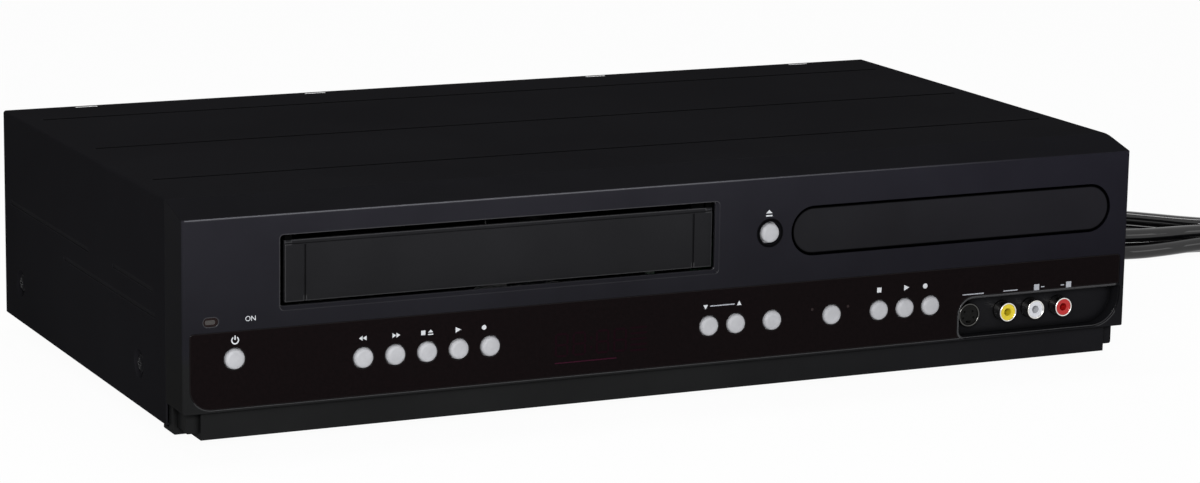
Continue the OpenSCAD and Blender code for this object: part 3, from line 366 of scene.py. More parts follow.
def front_plastic(name, low, high, dark, least, rightward_shade, edge_here, line=None):
    """Black moulded plastic of the front: a satin face with painted shade in its gaps, at its foot,
    towards its right and on parts turned from the light, and edges that shine with a glossier coat
    and a painted highlight.
    """
    material, tree, shader = nodes_of(name)
    where = placed(tree)
    grain = noise(tree, where, 0.45, 2)
    edge = product(tree, outer_edges(tree), edge_here(tree))
    colour = painted_gap_shade(tree, ramp(tree, noise(tree, where, 35, 4), low, high))
    # Painted light and shade: brighter towards the top of the front, darker towards its foot.
    lower_shade = lying(tree, "Z", None, WINDOW_TOP, over_mm=BRIGHTENING_MM)
    colour = dimmed(tree, colour, lower_shade, LOWER_SHARE)
    colour = tinted(tree, colour, lying(tree, "Z", None, POCKET_TOP, over_mm=5), LOWER_TINT)
    # Painted shade: darker towards the right.
    colour = tinted(tree, colour, lying(tree, "X", 0, over_mm=RIGHTWARD_MM), rightward_shade)
    # Painted highlight on the edges, then painted shade on the parts that turn away from the light
    # or sit in a gap.
    colour = dimmed(tree, painted_highlight(tree, colour, edge, PAINTED_EDGE_HIGHLIGHT, 0.4), dark(tree), least)
    # Painted shade round the tray's front.
    colour = dimmed(tree, colour, tray_gap_shade(tree), 0.1)
    # Painted shade round the eject button.
    colour = dimmed(tree, colour, eject_seat_shade(tree), 0.1)
    # A painted highlight along a line, where one is given.
    if line:
        colour = painted_highlight(tree, colour, line(tree), PAINTED_LINE_HIGHLIGHT, 0.8)
    surface(tree, shader, colour, spread(tree, grain, 0.42, 0.52))
    satin(tree, shader, bump(tree, grain, 0.02, 0.7, rounded(tree)), 0.04, 0.25, edge, 1.0)
    return material


def bezel_sides(tree):
    """The bezel's slope and sides, darkened by painted shade as they turn away from the light on
    the face.
    """
    face = product(
        tree, lying(tree, "X", -BEZEL_HALF, BEZEL_HALF), lying(tree, "Z", None, SHOULDER)
    )
    return product(
        tree, lying(tree, "Y", FACE + 1.0), lying(tree, "Z", PLINTH_TOP), opposite(tree, face)
    )


def bezel_edges(tree):
    """Where the bezel's edges catch the light: a glossier coat, and a painted highlight in their
    colour.
    """
    return product(
        tree,
        lying(tree, "X", 3 - BEZEL_HALF, BEZEL_HALF - 3),
        lying(tree, "Y", None, FACE + 4),
        lying(tree, "Z", PLINTH_TOP),
        opposite(tree, beside_tray(tree)),
        opposite(tree, lying(tree, "Z", WINDOW_TOP - 1.5, WINDOW_TOP + 1.5)),
    )


def bezel_highlight_line(tree):
    """A painted highlight: the pale line where the face meets the slope, fading to the right."""
    return product(
        tree,
        lying(tree, "Y", FACE + 0.06, FACE + 0.6),
        lying(tree, "Z", 90),
        lying(tree, "X", -BEZEL_HALF - 0.4, BEZEL_HALF + 0.4),
        lying(tree, "X", None, 0, over_mm=170),
    )


def bezel_plastic():
    return front_plastic(
        "bezel_plastic",
        (0.0120, 0.0117, 0.0149),
        (0.0146, 0.0144, 0.0182),
        dark=bezel_sides,
        least=0.36,
        rightward_shade=(0.84, 0.82, 0.92),
        edge_here=bezel_edges,
        line=bezel_highlight_line,
    )


def door_edges(tree):
    """Where the edges of the door catch the light: a glossier coat, and a painted highlight in
    their colour.
    """
    return product(
        tree,
        opposite(tree, beside_tray(tree)),
        opposite(tree, inside_door(tree)),
        lying(tree, "Z", None, DOOR_TOP),
    )


def door_plastic():
    return front_plastic(
        "door_plastic",
        (0.0114, 0.0114, 0.0125),
        (0.0139, 0.0140, 0.0153),
        # Painted shade: the door's parts above the top of its leaf are painted nearly black.
        dark=lambda tree: lying(tree, "Z", DOOR_TOP),
        least=0.03,
        rightward_shade=(1.0, 0.96, 1.08),
        edge_here=door_edges,
    )


def black_zinc():
    """A screw's black zinc plating, glossy where the driver wears its edges."""
    material, tree, shader = nodes_of("black_zinc")
    grain = noise(tree, placed(tree), 0.5, 3)
    colour = ramp(tree, grain, (0.004, 0.004, 0.005), (0.008, 0.008, 0.009))
    surface(tree, shader, colour, spread(tree, grain, 0.3, 0.42))
    normal = bump(tree, grain, 0.01, 0.4, rounded(tree, 0.25))
    satin(tree, shader, normal, 0.04, 0.2, outer_edges(tree, 0.3), 0.6)
    return material


def glossy_pvc():
    """The cord's black sheath, with the gloss of soft vinyl and a faint waviness along it."""
    material, tree, shader = nodes_of("cord_pvc")
    where = placed(tree)
    wave = noise(tree, where, 9, 2)
    colour = ramp(tree, wave, (0.0022, 0.0022, 0.0026), (0.0045, 0.0045, 0.0050))
    surface(tree, shader, colour, spread(tree, noise(tree, where, 1.1, 3), 0.3, 0.4))
    satin(tree, shader, bump(tree, wave, 0.08, 0.4), 1.0, 0.05)
    return material


def jack_body():
    """Black jack plastic that shows its moulding only by a faint sheen."""
    material, tree, shader = nodes_of("jack_black")
    grain = noise(tree, placed(tree), 0.8, 3)
    colour = ramp(tree, grain, (0.0058, 0.0058, 0.0055), (0.0090, 0.0090, 0.0086))
    surface(tree, shader, colour, spread(tree, grain, 0.35, 0.5))
    satin(tree, shader, bump(tree, grain, 0.01, 0.4), 0.06, 0.2)
    return material


def smoked_acrylic():
    """Polished smoked acrylic, very dark red-brown, with a fine fleck below its face."""
    material, tree, shader = nodes_of("smoked_acrylic")
    where = placed(tree)
    fleck = noise(tree, where, 1.3, 2, 0.6)
    colour = ramp(tree, fleck, (0.0026, 0.0016, 0.0018), (0.0041, 0.0024, 0.0027))
    surface(tree, shader, colour, spread(tree, noise(tree, where, 40, 4), 0.16, 0.22))
    normal = bump(tree, noise(tree, where, 60, 1), 0.03, 0.15, rounded(tree, 0.3))
    satin(tree, shader, normal, 0.05, 0.12, outer_edges(tree, 0.35), 0.5)
    return material


# ---------------------------------------------------------------- other finishes

NICKEL = ((0.62, 0.61, 0.58), (0.76, 0.75, 0.72))
SVIDEO_RIGHT = 150  # the right edge of the S-video sleeve


def moulded_plastic(name, low, high, rough=(0.42, 0.52), depth_mm=0.02, shaded_inside=False):
    """Moulded plastic with a fine spark-eroded grain; inside the case its colour can take painted
    shade, and its gloss is cut down.
    """
    material, tree, shader = nodes_of(name)
    where = placed(tree)
    grain = noise(tree, where, 0.8, 2)
    colour = ramp(tree, noise(tree, where, 35, 4), low, high)
    colour = painted_inside_shade(tree, colour) if shaded_inside else colour
    surface(tree, shader, colour, spread(tree, grain, *rough), bump(tree, grain, depth_mm, 0.7))
    shader.inputs["Specular IOR Level"].default_value = 0.05 if shaded_inside else 0.4
    return material


def polished_plastic(name, low, high, rough=(0.12, 0.2), specular=0.5):
    """Polished plastic with faint moulding ripples and fine scuffs."""
    material, tree, shader = nodes_of(name)
    where = placed(tree)
    ripple = noise(tree, where, 30, 2)
    scuff = noise(tree, placed(tree, (1, 1, 9), (0, 0.5, 0)), 3, 5, 0.7)
    roughness = spread(tree, scuff, *rough, 0.4, 0.75)
    surface(tree, shader, ramp(tree, ripple, low, high), roughness, bump(tree, ripple, 0.02, 0.2))
    shader.inputs["Specular IOR Level"].default_value = specular
    return material


def jack_plastic(name, low, high):
    """A jack's coloured insert, with painted shade down in its bore."""
    material = polished_plastic(name, low, high, (0.18, 0.3), 0.4)
    tree = material.node_tree
    base = tree.nodes["Principled BSDF"].inputs["Base Color"]
    plain = base.links[0].from_socket
    tree.links.new(painted_gap_shade(tree, plain, 3.0, least=0.06, shut=0.15, clear=0.5), base)
    return material


def sheet_metal(name, low, high, rough, brushed=(1, 1, 1), crystal_mm=5, shaded_inside=False):
    """Plated sheet steel, with its crystals or its brushing showing; inside the case its colour can
    take painted shade, and its gloss is cut down.
    """
    material, tree, shader = nodes_of(name)
    where = placed(tree, brushed)
    cells = add(tree, "ShaderNodeTexVoronoi", Scale=1000 / crystal_mm, Randomness=1.0)
    tree.links.new(where, cells.inputs["Vector"])
    streaks = noise(tree, where, 1.2, 4)
    pattern = worked(tree, "MULTIPLY_ADD", cells.outputs["Distance"], 0.35, streaks)
    colour = ramp(tree, pattern, low, high, 0.4, 0.85)
    colour = painted_inside_shade(tree, colour) if shaded_inside else colour
    surface(tree, shader, colour, spread(tree, streaks, *rough), bump(tree, streaks, 0.006, 0.5))
    shader.inputs["Metallic"].default_value = 1.0
    if shaded_inside:
        shader.inputs["Specular Tint"].default_value = (0.15, 0.15, 0.15, 1)
    return material


def nickel_sleeve():
    """The jacks' nickel, with the round sleeve of the S-video jack left darker."""
    material = sheet_metal("nickel_sleeve", *NICKEL, (0.14, 0.24), crystal_mm=2)
    tree = material.node_tree
    base = tree.nodes["Principled BSDF"].inputs["Base Color"]
    plain = base.links[0].from_socket
    tree.links.new(dimmed(tree, plain, lying(tree, "X", None, SVIDEO_RIGHT), 0.09), base)
    return material


def soft_rubber(name, low, high, rough=(0.6, 0.75), grain_mm=0.8, depth_mm=0.03):
    material, tree, shader = nodes_of(name)
    where = placed(tree)
    patches = noise(tree, where, 14, 4)
    grain = noise(tree, where, grain_mm, 3)
    normal = bump(tree, grain, depth_mm, 0.6)
    surface(tree, shader, ramp(tree, patches, low, high), spread(tree, grain, *rough), normal)
    return material


def circuit_board():
    """Green solder mask with paler copper runs under it and tinned pads."""
    material, tree, shader = nodes_of("circuit_board")
    where = placed(tree)
    runs = add(tree, "ShaderNodeTexBrick", Scale=1.0)
    runs.inputs["Color1"].default_value = (0.012, 0.085, 0.03, 1)
    runs.inputs["Color2"].default_value = (0.016, 0.11, 0.04, 1)
    runs.inputs["Mortar"].default_value = (0.035, 0.19, 0.075, 1)
    runs.inputs["Mortar Size"].default_value = 0.6 * MM
    runs.inputs["Brick Width"].default_value = 9 * MM
    runs.inputs["Row Height"].default_value = 3.1 * MM
    tree.links.new(placed(tree, turn=(0.02, 0.03, 0)), runs.inputs["Vector"])
    pads = add(tree, "ShaderNodeTexVoronoi", Scale=260.0, Randomness=0.7)
    tree.links.new(where, pads.inputs["Vector"])
    tinned = spread(tree, pads.outputs["Distance"], 1.0, 0.0, 0.12, 0.16)
    colour = mixed(tree, tinned, runs.outputs["Color"], (0.55, 0.55, 0.52))
    roughness = spread(tree, noise(tree, where, 2), 0.28, 0.42)
    surface(tree, shader, colour, roughness, bump(tree, tinned, 0.05, 0.6))
    return material


def silver_paint():
    """Satin silver paint on a moulded button, a little darker where fingers rub it."""
    material, tree, shader = nodes_of("silver_paint")
    where = placed(tree)
    flake = noise(tree, where, 0.22, 2)
    wear = noise(tree, where, 6, 3)
    colour = ramp(tree, wear, (0.315, 0.317, 0.332), (0.36, 0.362, 0.378))
    normal = bump(tree, flake, 0.004, 0.4, rounded(tree, 0.15))
    surface(tree, shader, colour, spread(tree, flake, 0.48, 0.58), normal)
    shader.inputs["Metallic"].default_value = 0.1
    shader.inputs["Specular IOR Level"].default_value = 0.3
    return material


def printed_ink(name, colour, paler, specular=0.5):
    """Screen-printed ink, slightly uneven."""
    material, tree, shader = nodes_of(name)
    uneven = noise(tree, placed(tree), 0.4, 3)
    surface(tree, shader, ramp(tree, uneven, colour, paler), spread(tree, uneven, 0.45, 0.6))
    shader.inputs["Specular IOR Level"].default_value = specular
    return material


FINISHES = {
    "case_paint": satin_black_paint(),
    "bezel_plastic": bezel_plastic(),
    "door_plastic": door_plastic(),
    "smoked_window": smoked_acrylic(),
    "button_silver": silver_paint(),
    "lens_plastic": polished_plastic(
        "lens_plastic", (0.004, 0.002, 0.002), (0.009, 0.004, 0.004), specular=0.1
    ),
    "zinc_steel": sheet_metal(
        "zinc_steel", (0.42, 0.43, 0.45), (0.62, 0.63, 0.64), (0.28, 0.42), shaded_inside=True
    ),
    "screw_steel": black_zinc(),
    "spring_steel": sheet_metal(
        "spring_steel", (0.5, 0.5, 0.52), (0.65, 0.65, 0.66), (0.28, 0.42), (12, 1, 1)
    ),
    "foot_rubber": soft_rubber("foot_rubber", (0.012, 0.012, 0.012), (0.022, 0.022, 0.021)),
    "belt_rubber": soft_rubber(
        "belt_rubber", (0.01, 0.01, 0.01), (0.02, 0.02, 0.02), (0.5, 0.62), 0.3, 0.01
    ),
    "circuit_board": circuit_board(),
    "display_glass": polished_plastic(
        "display_glass", (0.01, 0.018, 0.018), (0.02, 0.03, 0.03), (0.05, 0.1)
    ),
    "jack_metal": sheet_metal("jack_metal", *NICKEL, (0.14, 0.24), crystal_mm=2),
    "jack_black": jack_body(),
    "jack_yellow": jack_plastic("jack_yellow", (0.50, 0.39, 0.010), (0.60, 0.47, 0.018)),
    "jack_white": jack_plastic("jack_white", (0.45, 0.46, 0.49), (0.53, 0.54, 0.57)),
    "jack_red": jack_plastic("jack_red", (0.31, 0.006, 0.006), (0.40, 0.010, 0.009)),
    "loader_plastic": moulded_plastic(
        "loader_plastic", (0.02, 0.02, 0.023), (0.028, 0.028, 0.031)
    ),
    "gear_plastic": moulded_plastic(
        "gear_plastic", (0.62, 0.6, 0.54), (0.7, 0.68, 0.62), (0.35, 0.45), 0.01, shaded_inside=True
    ),
    "drum_metal": sheet_metal(
        "drum_metal", (0.6, 0.6, 0.61), (0.74, 0.74, 0.75), (0.15, 0.25), (1, 1, 20), 2, True
    ),
    "shaft_steel": sheet_metal(
        "shaft_steel", (0.5, 0.5, 0.51), (0.66, 0.66, 0.67), (0.15, 0.28), (1, 1, 10), 2
    ),
    "cord_pvc": glossy_pvc(),
}
WHITE_INK = printed_ink("white_ink", (0.40, 0.41, 0.43), (0.50, 0.51, 0.53))
GREY_INK = printed_ink("grey_ink", (0.26, 0.27, 0.30), (0.33, 0.34, 0.37))
DIM_FIGURES = printed_ink(
    "dim_figures", (0.0062, 0.0022, 0.0036), (0.0084, 0.0028, 0.0048), 0.0
)
DIM_LINE = printed_ink("dim_line", (0.020, 0.004, 0.010), (0.030, 0.006, 0.014), 0.0)
LAMP_INK = printed_ink("unlit_lamp", (0.012, 0.008, 0.008), (0.020, 0.012, 0.012), 0.1)
LAMP_BAR = printed_ink("lamp_bar", (0.020, 0.018, 0.017), (0.034, 0.030, 0.028), 0.3)
BARE_EDGE = sheet_metal(
    "bare_edge", (0.6, 0.6, 0.6), (0.8, 0.8, 0.8), (0.5, 0.6), crystal_mm=1.5
)
BARE_EDGE.node_tree.nodes["Principled BSDF"].inputs["Metallic"].default_value = 0.25


# ---------------------------------------------------------------- making pieces


def piece(name, mesh, slot, material=None):
    """A finished bmesh as an object that rides on the case and takes a slot's finish."""
    bmesh.ops.remove_doubles(mesh, verts=mesh.verts, dist=1e-6)
    bmesh.ops.recalc_face_normals(mesh, faces=mesh.faces)
    data = bpy.data.meshes.new(name)
    mesh.to_mesh(data)
    mesh.free()
    obj = bpy.data.objects.new(name, data)
    bpy.context.scene.collection.objects.link(obj)
    data.materials.append(material or FINISHES[slot])
    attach(obj, "root")
    return obj


def smooth(obj):
    """Shade an object smooth, apart from its sharp edges."""
    for polygon in obj.data.polygons:
        polygon.use_smooth = True
    obj.data.set_sharp_from_angle(angle=math.radians(35))
    return obj


def softened(mesh, geom, offset, segments, affect="EDGES"):
    """Round some edges, or the corners of a flat outline."""
    bmesh.ops.bevel(
        mesh, geom=geom, offset=offset, affect=affect, segments=segments, profile=0.5, material=-1
    )


def edges_of(verts):
    return list({e for v in verts for e in v.link_edges})


def block(mesh, size, middle):
    """A block about its middle, in metres."""
    made = bmesh.ops.create_cube(mesh, size=1)["verts"]
    bmesh.ops.scale(mesh, vec=size, verts=made)
    bmesh.ops.translate(mesh, vec=middle, verts=made)
    return made


def cone(mesh, radius, far_radius, depth, middle, tilt=0.0):
    """A closed cone along X about its middle, in metres, tilted by an angle about Y."""
    made = bmesh.ops.create_cone(
        mesh, cap_ends=True, segments=24, radius1=radius, radius2=far_radius, depth=depth
    )["verts"]
    along = Matrix.Rotation(math.pi / 2 + tilt, 3, "Y")
    bmesh.ops.rotate(mesh, matrix=along, verts=made)
    bmesh.ops.translate(mesh, vec=middle, verts=made)


# ---------------------------------------------------------------- mains cord

CORD_D = 7 * MM
CORD_ROUTE = [
    (184, 263, 32), (184, 272, 31.5), (184.5, 281, 29), (186, 290, 24), (189, 298, 17.5),
    (194, 305, 11), (201, 310.5, 6), (210, 314, 3.6), (222, 315, 3.5), (236, 312.5, 3.5),
    (250, 307, 3.5), (264, 299.5, 3.5), (277, 290.5, 3.5), (289, 281, 3.5),
    (301, 271.5, 3.5), (313, 262.5, 3.5), (326, 254.2, 3.5), (344.3, 244.7, 3.5),
]
HANK_AT = Vector((402, 186, 0))
HANK_TURN = math.radians(-25.6)
HANK_HALF = 63  # half of a straight run
HANK_START = -65.4  # where the cord joins the outer run
INNER, OUTER = 21.1, 28.2  # how far the two runs lie from the hank's middle line
LOW, HIGH = 3.5, 10.6  # the heights of the two layers' centrelines
PINCH = 17.3  # how far the tie draws the runs in at the middle
STEPS = 9  # along each run and each fold of the hank
PLUG_REACH = 15  # the cord's straight end past the hank, before the plug
PLUG_MIDDLE = 49  # along the plug's own line, from the hank's end
PLUG_HIGH = 12
RELIEF_RINGS = 6
RING_STEP, RING_GROWTH = 3.7, 0.42  # from one ring to the next, along the relief and outwards
BLADE_MIDDLE = 68.6
BLADE_SIDE = 6.35  # half of the distance between the blades
TIE_WIDE, TIE_HIGH, TIE_BAND, TIE_THICK = 31.5, 14.6, 9, 0.5


def from_face(p):
    """A point that is measured from the bezel's face, in millimetres."""
    return Vector((p[0] * MM, FRONT + p[1] * MM, p[2] * MM))


def from_hank(along, side, height):
    """A point that is measured along and across the hank, in millimetres."""
    axis = Vector((math.cos(HANK_TURN), math.sin(HANK_TURN), 0))
    across = Vector((-axis.y, axis.x, 0))
    return from_face(HANK_AT + along * axis + side * across + Vector((0, 0, height)))


def drawn_in(along, side):
    """A run's distance from the middle line where the tie draws it in."""
    share = 0.5 + 0.5 * math.cos(math.pi * min(1, abs(along) / HANK_HALF))
    return side - math.copysign(PINCH * share, side)


def run(start, end, side, low, high):
    """One straight run of the hank, which may climb to the other layer."""
    for i in range(STEPS + 1):
        share = i / STEPS
        along = start + (end - start) * share
        rise = low + (high - low) * (0.5 - 0.5 * math.cos(math.pi * share))
        yield from_hank(along, drawn_in(along, side), rise)


def fold(end, side_a, side_b, height):
    """The half turn between two runs at one end of the hank."""
    middle, radius = (side_a + side_b) / 2, abs(side_a - side_b) / 2
    for i in range(1, STEPS):
        angle = math.pi * i / STEPS
        along = math.copysign(HANK_HALF + radius * math.sin(angle), end)
        yield from_hank(along, middle + (side_a - middle) * math.cos(angle), height)


def hank_path():
    h = HANK_HALF
    yield from run(HANK_START, h, OUTER, LOW, LOW)
    yield from fold(1, OUTER, -INNER, LOW)
    yield from run(h, -h, -INNER, LOW, LOW)
    yield from fold(-1, -INNER, INNER, LOW)
    yield from run(-h, h, INNER, LOW, HIGH)
    yield from fold(1, INNER, -INNER, HIGH)
    yield from run(h, -h, -INNER, HIGH, HIGH)
    yield from fold(-1, -INNER, OUTER, HIGH)
    yield from run(-h, h, OUTER, HIGH, HIGH)
    yield from fold(1, OUTER, -OUTER, HIGH)
    yield from run(h, -h, -OUTER, HIGH, LOW)
    yield from_hank(-h - PLUG_REACH / 2, -OUTER, LOW)
    yield from_hank(-h - PLUG_REACH, -OUTER, LOW)


def add_cord(tie):
    points = [from_face(p) for p in CORD_ROUTE] + list(hank_path())
    curve = bpy.data.curves.new("mains_cord", "CURVE")
    curve.dimensions = "3D"
    curve.resolution_u = 6
    curve.bevel_depth = CORD_D / 2
    curve.bevel_resolution = 4
    curve.use_fill_caps = True
    spline = curve.splines.new("BEZIER")
    spline.bezier_points.add(len(points) - 1)
    for knot, point in zip(spline.bezier_points, points):
        knot.co = point
        knot.handle_left_type = knot.handle_right_type = "AUTO"
    cord = bpy.data.objects.new("mains_cord", curve)
    bpy.context.scene.collection.objects.link(cord)
    curve.materials.append(FINISHES["cord_pvc"])
    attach(cord, "root")
    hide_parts("power_cord", "cord_hank")


def add_plug():
    """A moulded two-blade plug with a ribbed, tapering relief."""
    mesh = bmesh.new()
    middle = (PLUG_MIDDLE * MM, 0, PLUG_HIGH / 2 * MM)
    body = block(mesh, (24 * MM, 18 * MM, PLUG_HIGH * MM), middle)
    narrow = [v for v in body if v.co.x < PLUG_MIDDLE * MM]
    centred = Matrix.Translation((0, 0, -PLUG_HIGH / 2 * MM))
    bmesh.ops.scale(mesh, vec=(1, 0.72, 0.8), verts=narrow, space=centred)
    softened(mesh, edges_of(body), 2.2 * MM, 4)
    for i in range(RELIEF_RINGS):
        growth = RING_GROWTH * i
        radius = (4.0 + growth) * MM
        at = ((17.3 + RING_STEP * i) * MM, 0, (3.5 + growth) * MM)
        cone(mesh, radius, radius + 0.25 * MM, 2.6 * MM, at)
    cone(mesh, 3.6 * MM, 5.2 * MM, 23.5 * MM, (26.5 * MM, 0, 4.9 * MM), tilt=-0.1)
    turn = Matrix.Rotation(math.pi + HANK_TURN, 4, "Z")
    place = Matrix.Translation(from_hank(-HANK_HALF, -OUTER, 0)) @ turn
    bmesh.ops.transform(mesh, matrix=place, verts=mesh.verts)
    plug = smooth(piece("mains_plug", mesh, "cord_pvc"))
    mesh = bmesh.new()
    for side in (-BLADE_SIDE, BLADE_SIDE):
        at = (BLADE_MIDDLE * MM, side * MM, PLUG_HIGH / 2 * MM)
        block(mesh, (16.5 * MM, 1.5 * MM, 6.4 * MM), at)
    tips = [e for e in mesh.edges if all(v.co.x > BLADE_MIDDLE * MM for v in e.verts)]
    softened(mesh, tips, 0.5 * MM, 2)
    bmesh.ops.transform(mesh, matrix=place, verts=mesh.verts)
    piece("plug_blades", mesh, "jack_metal")
    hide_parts("cord_plug")
    return plug


def add_tie():
    """The band that holds the hank at its middle."""
    mesh = bmesh.new()
    bmesh.ops.create_grid(mesh, x_segments=1, y_segments=1, size=0.5)
    bmesh.ops.scale(mesh, vec=(TIE_WIDE * MM, TIE_HIGH * MM, 1), verts=mesh.verts)
    softened(mesh, list(mesh.verts), 6 * MM, 6, "VERTICES")
    bmesh.ops.delete(mesh, geom=list(mesh.faces), context="FACES_ONLY")
    grown = bmesh.ops.extrude_edge_only(mesh, edges=mesh.edges)["geom"]
    moved = [v for v in grown if isinstance(v, bmesh.types.BMVert)]
    bmesh.ops.translate(mesh, vec=(0, 0, TIE_BAND * MM), verts=moved)
    bmesh.ops.recalc_face_normals(mesh, faces=mesh.faces)
    bmesh.ops.solidify(mesh, geom=list(mesh.faces), thickness=TIE_THICK * MM)
    across_hank = Matrix.Rotation(HANK_TURN + math.pi / 2, 4, "Z")
    turn = across_hank @ Matrix.Rotation(math.pi / 2, 4, "X")
    place = Matrix.Translation(from_hank(-TIE_BAND / 2, 0, TIE_HIGH / 2)) @ turn
    bmesh.ops.transform(mesh, matrix=place, verts=mesh.verts)
    return smooth(piece("hank_tie", mesh, "cord_pvc", FINISHES["belt_rubber"]))


add_camera()
mains_plug = add_plug()
add_cord(add_tie())


# ---------------------------------------------------------------- printed marks

# These places and sizes are in millimetres
PRINT_THICK = 0.05
DIM_THICK = 0.012
LAMP_THICK = 0.12
WINDOW_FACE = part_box("display_window")[0][1]
LENS = [(a + b) / 2 / MM for a, b in zip(*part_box("power_lens"))]
ROW_Z = 41.6  # the signs over the left row of buttons
MIDDLE_Z = 42.0
RIGHT_Z = 42.4
RULE = 0.42  # the width of a printed line
DOT = 28  # the sides of a record dot
FIGURES_X = (-54.5, -46.5, -36, -28)
FIGURES_Z = 31.2
FIGURE_HALF_WIDE, FIGURE_HALF_HIGH = 2.6, 4.6
STROKE_WIDE = 0.8
# The strokes of a figure: the middle, in halves of its size, and whether it is upright
STROKES = [(0, up, False) for up in (1, 0, -1)]
STROKES += [(across, up, True) for up in (0.5, -0.5) for across in (-1, 1)]


def shape(mesh, sides, radius, at, turn=0, stretch=(1, 1)):
    """A filled regular outline: three sides for an arrow, many for a dot."""
    made = bmesh.ops.create_circle(mesh, cap_ends=True, segments=sides, radius=radius)["verts"]
    bmesh.ops.rotate(mesh, matrix=Matrix.Rotation(math.radians(turn), 3, "Z"), verts=made)
    bmesh.ops.scale(mesh, vec=(*stretch, 1), verts=made)
    bmesh.ops.translate(mesh, vec=(*at, 0), verts=made)


def bar(mesh, at, wide, high):
    made = bmesh.ops.create_grid(mesh, x_segments=1, y_segments=1, size=0.5)["verts"]
    bmesh.ops.scale(mesh, vec=(wide, high, 1), verts=made)
    bmesh.ops.translate(mesh, vec=(*at, 0), verts=made)


def arrow(mesh, at, wide, high, turn=0):
    """A triangle that points right before it is turned."""
    upright = turn % 180 == 90
    stretch = (high / 1.732, wide / 1.5) if upright else (wide / 1.5, high / 1.732)
    shape(mesh, 3, 1.0, at, turn - 90, stretch)


def eject_sign(mesh, at, wide):
    arrow(mesh, (at[0], at[1] + 0.12 * wide), 0.5 * wide, wide, 90)
    bar(mesh, (at[0], at[1] - 0.38 * wide), wide, 0.2 * wide)


def power_sign(mesh, at, radius):
    """An open ring with a stroke through its gap."""
    line = 0.3 * radius
    ends = [mesh.verts.new((0, r, 0)) for r in (radius - line, radius)]
    start = mesh.edges.new(ends)
    bmesh.ops.rotate(mesh, matrix=Matrix.Rotation(math.radians(35), 3, "Z"), verts=ends)
    bmesh.ops.spin(
        mesh, geom=[*ends, start], axis=(0, 0, 1), cent=(0, 0, 0), angle=math.radians(290), steps=28
    )
    made = {v for f in mesh.faces if f.calc_center_median().length < radius for v in f.verts}
    bmesh.ops.translate(mesh, vec=(*at, 0), verts=list(made))
    bar(mesh, (at[0], at[1] + 0.62 * radius), line, 1.05 * radius)


def printed(mesh, name, face, ink, slot, thick=PRINT_THICK):
    """Stand a flat layout up on the front, against a face, as ink of its own thickness."""
    bmesh.ops.recalc_face_normals(mesh, faces=mesh.faces)
    bmesh.ops.solidify(mesh, geom=list(mesh.faces), thickness=thick)
    low = min(v.co.z for v in mesh.verts)
    bmesh.ops.translate(mesh, vec=(0, 0, -low), verts=mesh.verts)
    stand = Matrix.Translation((0, face, 0)) @ Matrix.Rotation(math.pi / 2, 4, "X")
    bmesh.ops.transform(mesh, matrix=stand @ Matrix.Diagonal((MM, MM, MM, 1)), verts=mesh.verts)
    piece(name, mesh, slot, ink)


def add_window_signs():
    """The signs over the window's buttons, from left to right."""
    mesh = bmesh.new()
    power_sign(mesh, (-195.7, 45.4), 1.65)
    for x in (-142.5, -140.8):
        arrow(mesh, (x, ROW_Z), 1.6, 2.0, 180)
    for x in (-128.6, -126.9):
        arrow(mesh, (x, ROW_Z), 1.6, 2.0)
    shape(mesh, 4, 1.3, (-115.8, ROW_Z), 45)
    eject_sign(mesh, (-112.6, ROW_Z), 2.3)
    arrow(mesh, (-100.9, ROW_Z), 2.4, 2.3)
    shape(mesh, DOT, 1.0, (-89.2, ROW_Z))
    arrow(mesh, (11.2, MIDDLE_Z), 1.9, 2.2, 270)
    arrow(mesh, (26.9, MIDDLE_Z), 1.9, 2.2, 90)
    shape(mesh, 4, 1.5, (93.9, RIGHT_Z), 45)
    arrow(mesh, (106.9, RIGHT_Z), 2.5, 2.4)
    shape(mesh, DOT, 1.1, (116.4, RIGHT_Z))
    printed(mesh, "window_signs", WINDOW_FACE, WHITE_INK, "button_silver")


def add_source_lamps():
    """The two unlit lamps beside the source button."""
    mesh = bmesh.new()
    for x in (61.7, 78.9):
        shape(mesh, 20, 0.6, (x, 36.6))
    printed(mesh, "source_lamps", WINDOW_FACE, LAMP_INK, "display_glass")


def add_window_rules():
    """Plain lines that join the signs of a pair, and the squares of the two sound jacks."""
    mesh = bmesh.new()
    bar(mesh, (19.05, MIDDLE_Z), 11.5, RULE)
    bar(mesh, (140.4, 36.9), 10.5, RULE)
    bar(mesh, (159.1, 37.0), 7.2, RULE)
    for x in (172.3, 188.6):
        bar(mesh, (x, 37.4), 2.6, 2.6)
    for x in (175.4, 185.4):
        bar(mesh, (x, 37.4), 1.7, RULE)
    printed(mesh, "window_rules", WINDOW_FACE, GREY_INK, "button_silver")


def add_face_signs():
    """The eject button's sign, and the word by the power lamp."""
    mesh = bmesh.new()
    eject_sign(mesh, (39.9, 79.6), 3.0)
    words = bpy.data.curves.new("lamp_word", "FONT")
    words.body = "ON"
    words.size = 2.9
    words.align_x = "CENTER"
    words.align_y = "CENTER"
    flat = bpy.data.objects.new("lamp_word", words)
    bpy.context.scene.collection.objects.link(flat)
    bpy.context.view_layer.update()
    letters = bpy.data.meshes.new_from_object(flat)
    before = set(mesh.verts)
    mesh.from_mesh(letters)
    word = [v for v in mesh.verts if v not in before]
    bmesh.ops.translate(mesh, vec=(-189.3, LENS[2] + 0.2, 0), verts=word)
    bpy.data.objects.remove(flat)
    bpy.data.meshes.remove(letters)
    printed(mesh, "face_signs", FRONT, WHITE_INK, "button_silver")


